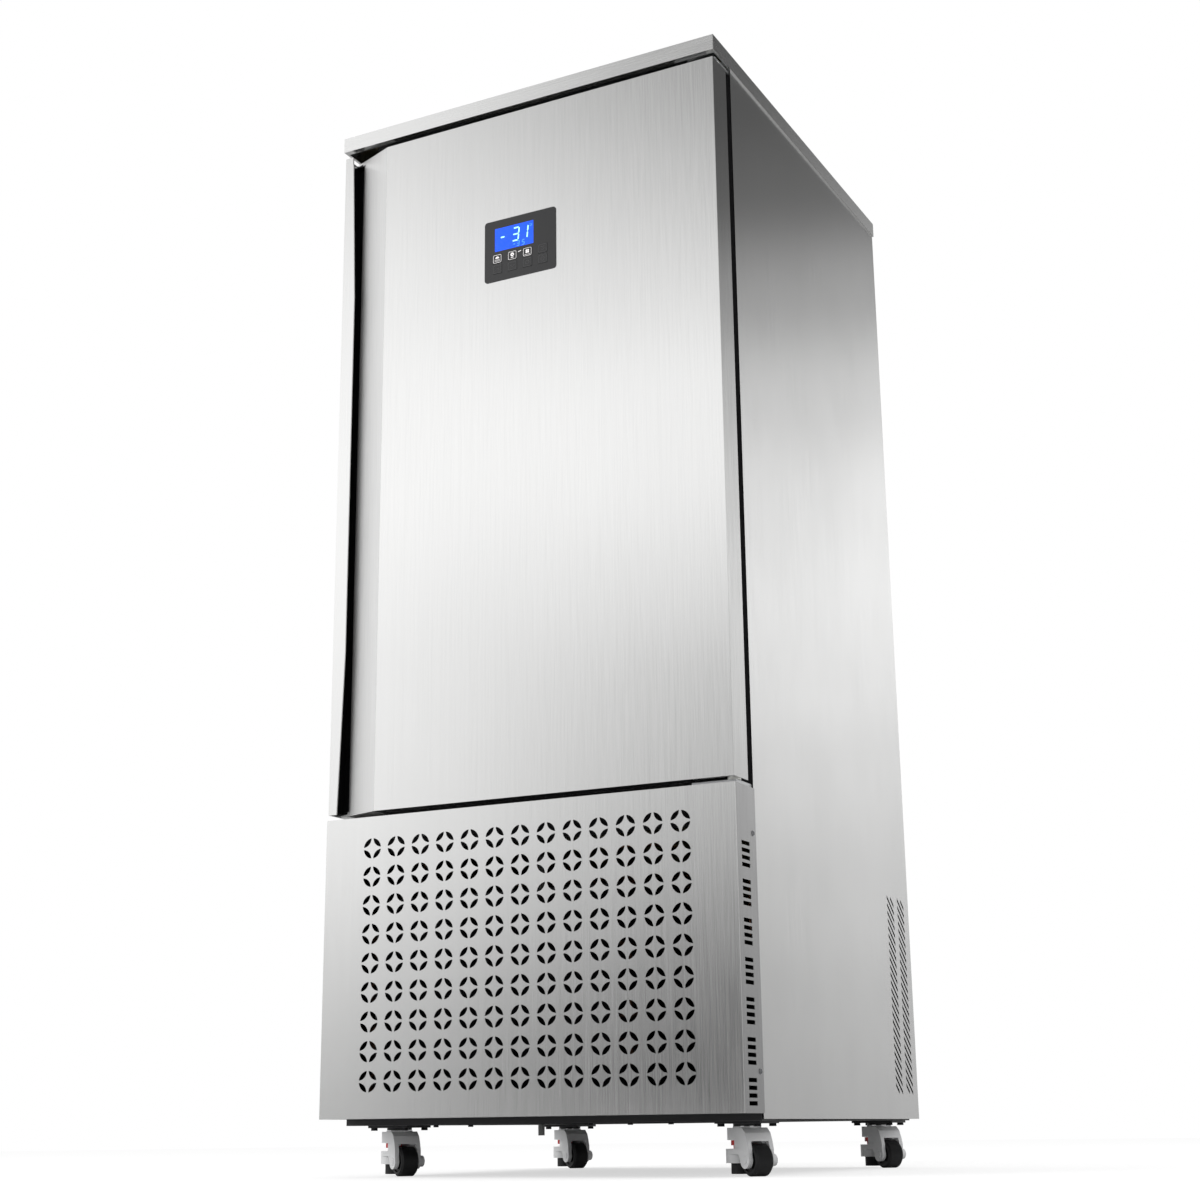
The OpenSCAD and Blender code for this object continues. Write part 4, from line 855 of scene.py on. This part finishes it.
# tread, hub rings, axle caps and foot rim of each caster
casterParts = {
    "spots": {"front_left": (-0.335, -0.2705), "front_right": (0.335, -0.2705),
              "rear_left": (-0.335, 0.3695), "rear_right": (0.335, 0.3695)},
    "axle": (0.028, 0.025),
    "tyreRadius": 0.025,
    "treads": 5,
    "treadPitch": 0.0052,
    # profiles as radius and distance along the axle from the wheel's middle, or height for the foot
    "tread": ((-0.0008, -0.0019), (-0.0002, -0.0015), (-0.0002, 0.0015), (-0.0008, 0.0019)),    # radius from the tyre's
    "farCap": ((0.0, 0.0355), (0.005225, 0.0351), (0.00836, 0.0337), (0.0094, 0.0319), (0.0, 0.0319)),
    "nearRing": ((0.0040, -0.0258), (0.0064, -0.0258), (0.0072, -0.0242), (0.0040, -0.0242)),
    "hubRing": ((0.0100, 0.0132), (0.0100, 0.0148), (0.0125, 0.0148), (0.0125, 0.0132)),
    "footRim": ((0.0132, 0.0042), (0.0132, 0.0033), (0.0152, 0.0033), (0.0155, 0.0046)),
    "footX": -0.022,
}


def casterPlace(spot):
    turn = math.radians(cabinet["casterTrail"])
    ahead, across = Vector((math.cos(turn), math.sin(turn), 0)), Vector((-math.sin(turn), math.cos(turn), 0))
    x, y = casterParts["spots"][spot]
    return lambda u, v, z: Vector((x, y, 0)) + ahead * u + across * v + Vector((0, 0, z))


def makeCaster(spot, v):
    at = casterPlace(spot)
    ax, az = v["axle"]
    around = lambda a, b, h: at(ax + a, h, az + b)
    under = lambda a, b, h: at(v["footX"] + a, b, h)
    name = "caster_" + spot
    tread = bmesh.new()
    for k in range(v["treads"]):
        centre = (k - (v["treads"] - 1) / 2) * v["treadPitch"]
        ringed(tread, [(v["tyreRadius"] + out, centre + along) for out, along in v["tread"]], around, 56)
    addPiece(name + "_tread", tread, "wheel_black", name + "_wheel", smooth=True)
    caps = bmesh.new()
    turned(caps, v["farCap"], around, 28)
    ringed(caps, v["nearRing"], around, 28)
    addPiece(name + "_axle_caps", caps, "fork_grey", name, smooth=True)
    rings = bmesh.new()
    for side in (-1, 1):
        ringed(rings, [(radius, side * along) for radius, along in v["hubRing"]], around, 32)
    addPiece(name + "_hub_rings", rings, "wheel_black", name + "_wheel", smooth=True)
    foot = bmesh.new()
    ringed(foot, v["footRim"], under, 40)
    addPiece(name + "_foot_rim", foot, "foot_rubber", name + "_foot", smooth=True)


for spot in casterParts["spots"]:
    makeCaster(spot, casterParts)
print("casters dressed")

# a cross recess on each panel and bracket screw
screwHeads = {
    "panelX": 0.3999,
    "panelY": -0.3575,
    "panelZ": (0.161, 0.539),
    "bracketY": -0.3535,
    "bracketX": (0.3345, 0.3745),
    "bracketZ": (0.6015, 1.954),
    "radius": 0.0044,
    "bracketWider": 1.1,
    "sunk": 0.0001,
    "slot": (0.0038, 0.0007),
    "slotDeep": 0.0002,
    "slotOut": 0.00016,
}


def panHead(shape, centre, outward, aside, radius, v):
    up = outward.cross(aside)
    place = lambda a, b, h: centre + aside * a + up * b + outward * h
    profile = [(0.0012, 0.0001), (radius * 0.75, 0.0001), (radius, -0.0006), (radius, -0.0014), (0.0, -0.0014)]
    turned(shape, profile, place, 24)
    for turn in (0, 90):
        c, s = math.cos(math.radians(turn)), math.sin(math.radians(turn))
        spun = lambda u, w, depth: place(u * c - w * s, u * s + w * c, v["slotOut"] - depth)
        prism(shape, rectangle(0, 0, *v["slot"]), spun, v["slotDeep"])


def makeScrews(v):
    shape = bmesh.new()
    for side in (-1, 1):
        for z in v["panelZ"]:
            centre = Vector((side * (v["panelX"] - v["sunk"]), v["panelY"], z))
            panHead(shape, centre, Vector((side, 0, 0)), Vector((0, 1, 0)), v["radius"], v)
    for x in v["bracketX"]:
        for z in v["bracketZ"]:
            centre = Vector((x, v["bracketY"] - v["sunk"], z))
            panHead(shape, centre, Vector((0, -1, 0)), Vector((1, 0, 0)), v["radius"] * v["bracketWider"], v)
    addPiece("screw_recesses", shape, "screws", "cabinet", smooth=True)


makeScrews(screwHeads)
print("screws cut")

# seam, terminal cover and foot bolts of the compressor
compressorTrim = {
    "centre": (0.230, 0.120),
    "radius": 0.105,
    # radius from the shell's, height
    "seam": ((-0.001, 0.262), (0.0022, 0.2635), (0.0022, 0.2665), (-0.001, 0.268)),
    # from its outer side to its inner one, half its width, and its height
    "cover": {"out": 0.022, "in": 0.012, "half": 0.032, "z": (0.20, 0.255)},
    "boltOut": 0.089,
    "bolt": ((0, 0.113), (0.0085, 0.113), (0.0085, 0.121), (0.004, 0.121), (0.004, 0.126), (0, 0.126)),
}


def makeCompressorTrim(v):
    cx, cy = v["centre"]
    r, cover, out = v["radius"], v["cover"], v["boltOut"]
    shape = bmesh.new()
    ringed(shape, [(r + more, z) for more, z in v["seam"]], lambda a, b, h: Vector((cx + a, cy + b, h)), 64)
    bottom, top = cover["z"]
    block(shape, (cx - r - cover["out"], cy - cover["half"], bottom), (cx - r + cover["in"], cy + cover["half"], top))
    for side in (-1, 1):
        x, y = cx + side * out, cy - out
        turned(shape, v["bolt"], lambda a, b, h: Vector((x + a, y + b, h)), 6)
    addPiece("compressor_trim", shape, "compressor_paint", "cabinet", bevel=0.0012)


makeCompressorTrim(compressorTrim)
print("compressor trimmed")

# black filter mats behind the louvres and the rear vents, with ribs across their backs
filterMats = {
    "thick": 0.0018,
    "rib": 0.0006,
    "ribPitch": 0.012,
    "ribHigh": 0.002,
    "sideX": 0.3945,
    "sideY": (0.290, 0.4095),
    "sideZ": (0.120, 0.585),
    "rearY": 0.4125,
    "rearX": (-0.250, 0.390),
    "rearZ": (0.240, 0.530),
}


def makeFilterMats(v):
    shape = bmesh.new()

    def ribHeights(z0, z1):
        for k in range(int((z1 - z0) / v["ribPitch"])):
            z = z0 + (k + 0.5) * v["ribPitch"]
            yield z, z + v["ribHigh"]

    (y0, y1), (z0, z1) = v["sideY"], v["sideZ"]
    for side in (-1, 1):
        near, far, rib = (side * (v["sideX"] - depth) for depth in (0, v["thick"], v["thick"] + v["rib"]))
        block(shape, (min(near, far), y0, z0), (max(near, far), y1, z1))
        for low, high in ribHeights(z0, z1):
            block(shape, (min(rib, far), y0, low), (max(rib, far), y1, high))
    (x0, x1), (z0, z1) = v["rearX"], v["rearZ"]
    back = v["rearY"] - v["thick"]
    block(shape, (x0, back, z0), (x1, v["rearY"], z1))
    for low, high in ribHeights(z0, z1):
        block(shape, (x0, back - v["rib"], low), (x1, back, high))
    addPiece("filter_mats", shape, "filterMat", "cabinet")


makeFilterMats(filterMats)
print("filter mats laid")

# floor, reflection tent and lamps
studio = {
    "tentRadius": 8.0,
    "tentTop": 9.0,
    "tentAcross": 180,
    "tentRows": 60,
    "floorRadius": 7.9,
    "floorSteps": 96,
    "floorGrey": (0.54, 0.58),
    "floorLift": 0.62,
    "worldDiffuse": 0.62,
    "key": {"place": (-2.6, -3.4, 2.6), "size": 2.4, "power": 60, "aim": (0, 0, 0.9)},
    "fill": {"place": (3.4, 1.2, 2.4), "size": 2.6, "power": 30, "aim": (0, 0, 0.9)},
    "low": {"place": (-1.6, -2.6, 0.45), "size": 0.9, "power": 14, "aim": (0, -0.2, 0.05)},
    # each wall by height on the tent in metres, and glow
    "front": ((0.0, 0.03), (0.77, 0.06), (1.34, 0.22), (1.6, 0.33), (1.93, 0.43), (2.53, 0.55), (3.15, 0.86),
              (3.78, 1.11), (4.4, 1.15), (5.1, 0.86), (5.79, 0.60), (6.5, 0.34), (9.0, 0.10)),
    "middle": ((0.0, 0.14), (0.23, 0.20), (0.46, 0.28), (0.81, 0.46), (1.17, 0.68), (1.52, 0.85), (1.87, 0.96),
               (2.5, 1.05), (3.7, 1.23), (4.4, 1.21), (5.1, 1.08), (5.8, 0.96), (6.5, 0.80), (9.0, 0.50)),
    "left": ((0.0, 0.74), (0.5, 0.94), (1.06, 1.18), (1.6, 1.34), (2.2, 1.33), (3.5, 1.30), (5.0, 1.20), (6.5, 1.0),
             (9.0, 0.7)),
    "far": ((0.0, 0.70), (2.0, 0.85), (4.0, 0.90), (6.5, 0.82), (9.0, 0.6)),
    "right": ((0.0, 0.62), (0.78, 0.72), (1.36, 0.84), (2.2, 1.03), (2.6, 1.17), (3.2, 1.26), (3.85, 1.19),
              (4.5, 0.92), (5.2, 0.51), (5.9, 0.18), (6.6, 0.12), (9.0, 0.08)),
    "dark": ((0.0, 0.05), (9.0, 0.05)),
    "aside": ((0.0, 0.45), (2.0, 0.55), (4.0, 0.62), (9.0, 0.45)),
    # which wall the tent shows at each bearing; 0 is +X, 90 is +Y, 270 is -Y
    "walls": ((0, "dark"), (45, "dark"), (61, "right"), (108, "right"), (130, "far"), (205, "far"), (230, "left"),
              (235, "left"), (241, "middle"), (248, "front"), (266, "front"), (284, "dark"), (290, "dark"),
              (304, "aside"), (334, "aside"), (346, "dark"), (360, "dark")),
}


def smoothShare(value, low, high):
    share = (value - low) / (high - low)
    return share * share * (3 - 2 * share)


def atHeight(stops, height):
    for (low, first), (high, second) in zip(stops, stops[1:]):
        if height <= high:
            return first + (second - first) * smoothShare(height, low, high)
    return stops[-1][1]


def tentGlow(v, bearing, height):
    for (low, first), (high, second) in zip(v["walls"], v["walls"][1:]):
        if bearing <= high:
            share = smoothShare(bearing, low, high)
            return atHeight(v[first], height) * (1 - share) + atHeight(v[second], height) * share
    return 0.0


def circle(radius, steps, z=0.0):
    bearings = [2 * math.pi * k / steps for k in range(steps)]
    return [(radius * math.cos(b), radius * math.sin(b), z) for b in bearings]


def stageMesh(name, mesh):
    # an object of the studio, and its material's bare node tree with the output
    finish = bpy.data.materials.new(name)
    mesh.materials.append(finish)
    thing = bpy.data.objects.new(name, mesh)
    bpy.context.scene.collection.objects.link(thing)
    tree = clearedTree(finish)
    return thing, tree, tree.nodes.new("ShaderNodeOutputMaterial")


def makeTent(v):
    # a light tent that only reflections see; its glow is kept in the mesh
    mesh = bpy.data.meshes.new("studio_tent")
    across, rows = v["tentAcross"], v["tentRows"]
    points = []
    for row in range(rows + 1):
        points += circle(v["tentRadius"], across, v["tentTop"] * row / rows)
    faces = []
    for low in range(0, rows * across, across):
        high = low + across
        faces += [(low + k, low + (k + 1) % across, high + (k + 1) % across, high + k) for k in range(across)]
    faces.append(tuple(range(rows * across, (rows + 1) * across)))
    mesh.from_pydata(points, [], faces)
    glow = mesh.attributes.new("glow", "FLOAT", "POINT")
    for number, (x, y, z) in enumerate(points):
        bearing = math.degrees(math.atan2(y, x)) % 360
        glow.data[number].value = tentGlow(v, bearing, z)
    tent, tree, out = stageMesh("studio_tent", mesh)
    shine = tree.nodes.new("ShaderNodeEmission")
    level = tree.nodes.new("ShaderNodeAttribute")
    level.attribute_name = "glow"
    tree.links.new(level.outputs["Fac"], shine.inputs["Strength"])
    tree.links.new(shine.outputs["Emission"], out.inputs["Surface"])
    tent.visible_camera = False
    tent.visible_diffuse = False
    tent.visible_shadow = False
    tent.visible_transmission = False


def makeFloor(v):
    mesh = bpy.data.meshes.new("studio_floor")
    mesh.from_pydata(circle(v["floorRadius"], v["floorSteps"]), [], [tuple(range(v["floorSteps"]))])
    floor, tree, out = stageMesh("studio_floor", mesh)
    matt = tree.nodes.new("ShaderNodeBsdfDiffuse")
    grain = spread(tree, objectNoise(tree, (40, 40, 40), 2.0), 0.0, 1.0)
    darker, lighter = (rgba((grey, grey, grey)) for grey in v["floorGrey"])
    tree.links.new(blend(tree, grain, darker, lighter), matt.inputs["Color"])
    lift = tree.nodes.new("ShaderNodeEmission")
    seen = tree.nodes.new("ShaderNodeLightPath").outputs["Is Camera Ray"]
    tree.links.new(combined(tree, "MULTIPLY", seen, v["floorLift"]), lift.inputs["Strength"])
    both = tree.nodes.new("ShaderNodeAddShader")
    tree.links.new(matt.outputs["BSDF"], both.inputs[0])
    tree.links.new(lift.outputs["Emission"], both.inputs[1])
    tree.links.new(both.outputs["Shader"], out.inputs["Surface"])


def makeWorld(v):
    # white to the camera, in reflections and through clear things, and grey as a light
    world = bpy.data.worlds.new("studioWorld")
    bpy.context.scene.world = world
    tree = clearedTree(world)
    out = tree.nodes.new("ShaderNodeOutputWorld")
    sky = tree.nodes.new("ShaderNodeBackground")
    sky.inputs["Color"].default_value = (1, 1, 1, 1)
    seen = tree.nodes.new("ShaderNodeLightPath").outputs
    level = seen["Is Camera Ray"]
    for ray in ("Is Glossy Ray", "Is Transmission Ray"):
        level = combined(tree, "MAXIMUM", level, seen[ray])
    tree.links.new(spread(tree, level, v["worldDiffuse"], 1.0, 0, 1), sky.inputs["Strength"])
    tree.links.new(sky.outputs["Background"], out.inputs["Surface"])


def addLamp(name, v):
    lamp = bpy.data.lights.new(name, "AREA")
    lamp.shape = "SQUARE"
    lamp.size = v["size"]
    lamp.energy = v["power"]
    thing = bpy.data.objects.new(name, lamp)
    thing.location = v["place"]
    thing.rotation_euler = (Vector(v["aim"]) - Vector(v["place"])).to_track_quat("-Z", "Y").to_euler()
    thing.visible_camera = False
    thing.visible_glossy = False
    bpy.context.scene.collection.objects.link(thing)


makeTent(studio)
makeFloor(studio)
makeWorld(studio)
for lamp in ("key", "fill", "low"):
    addLamp(lamp + "Lamp", studio[lamp])
bpy.context.scene.view_settings.view_transform = "Standard"
print("studio lit")
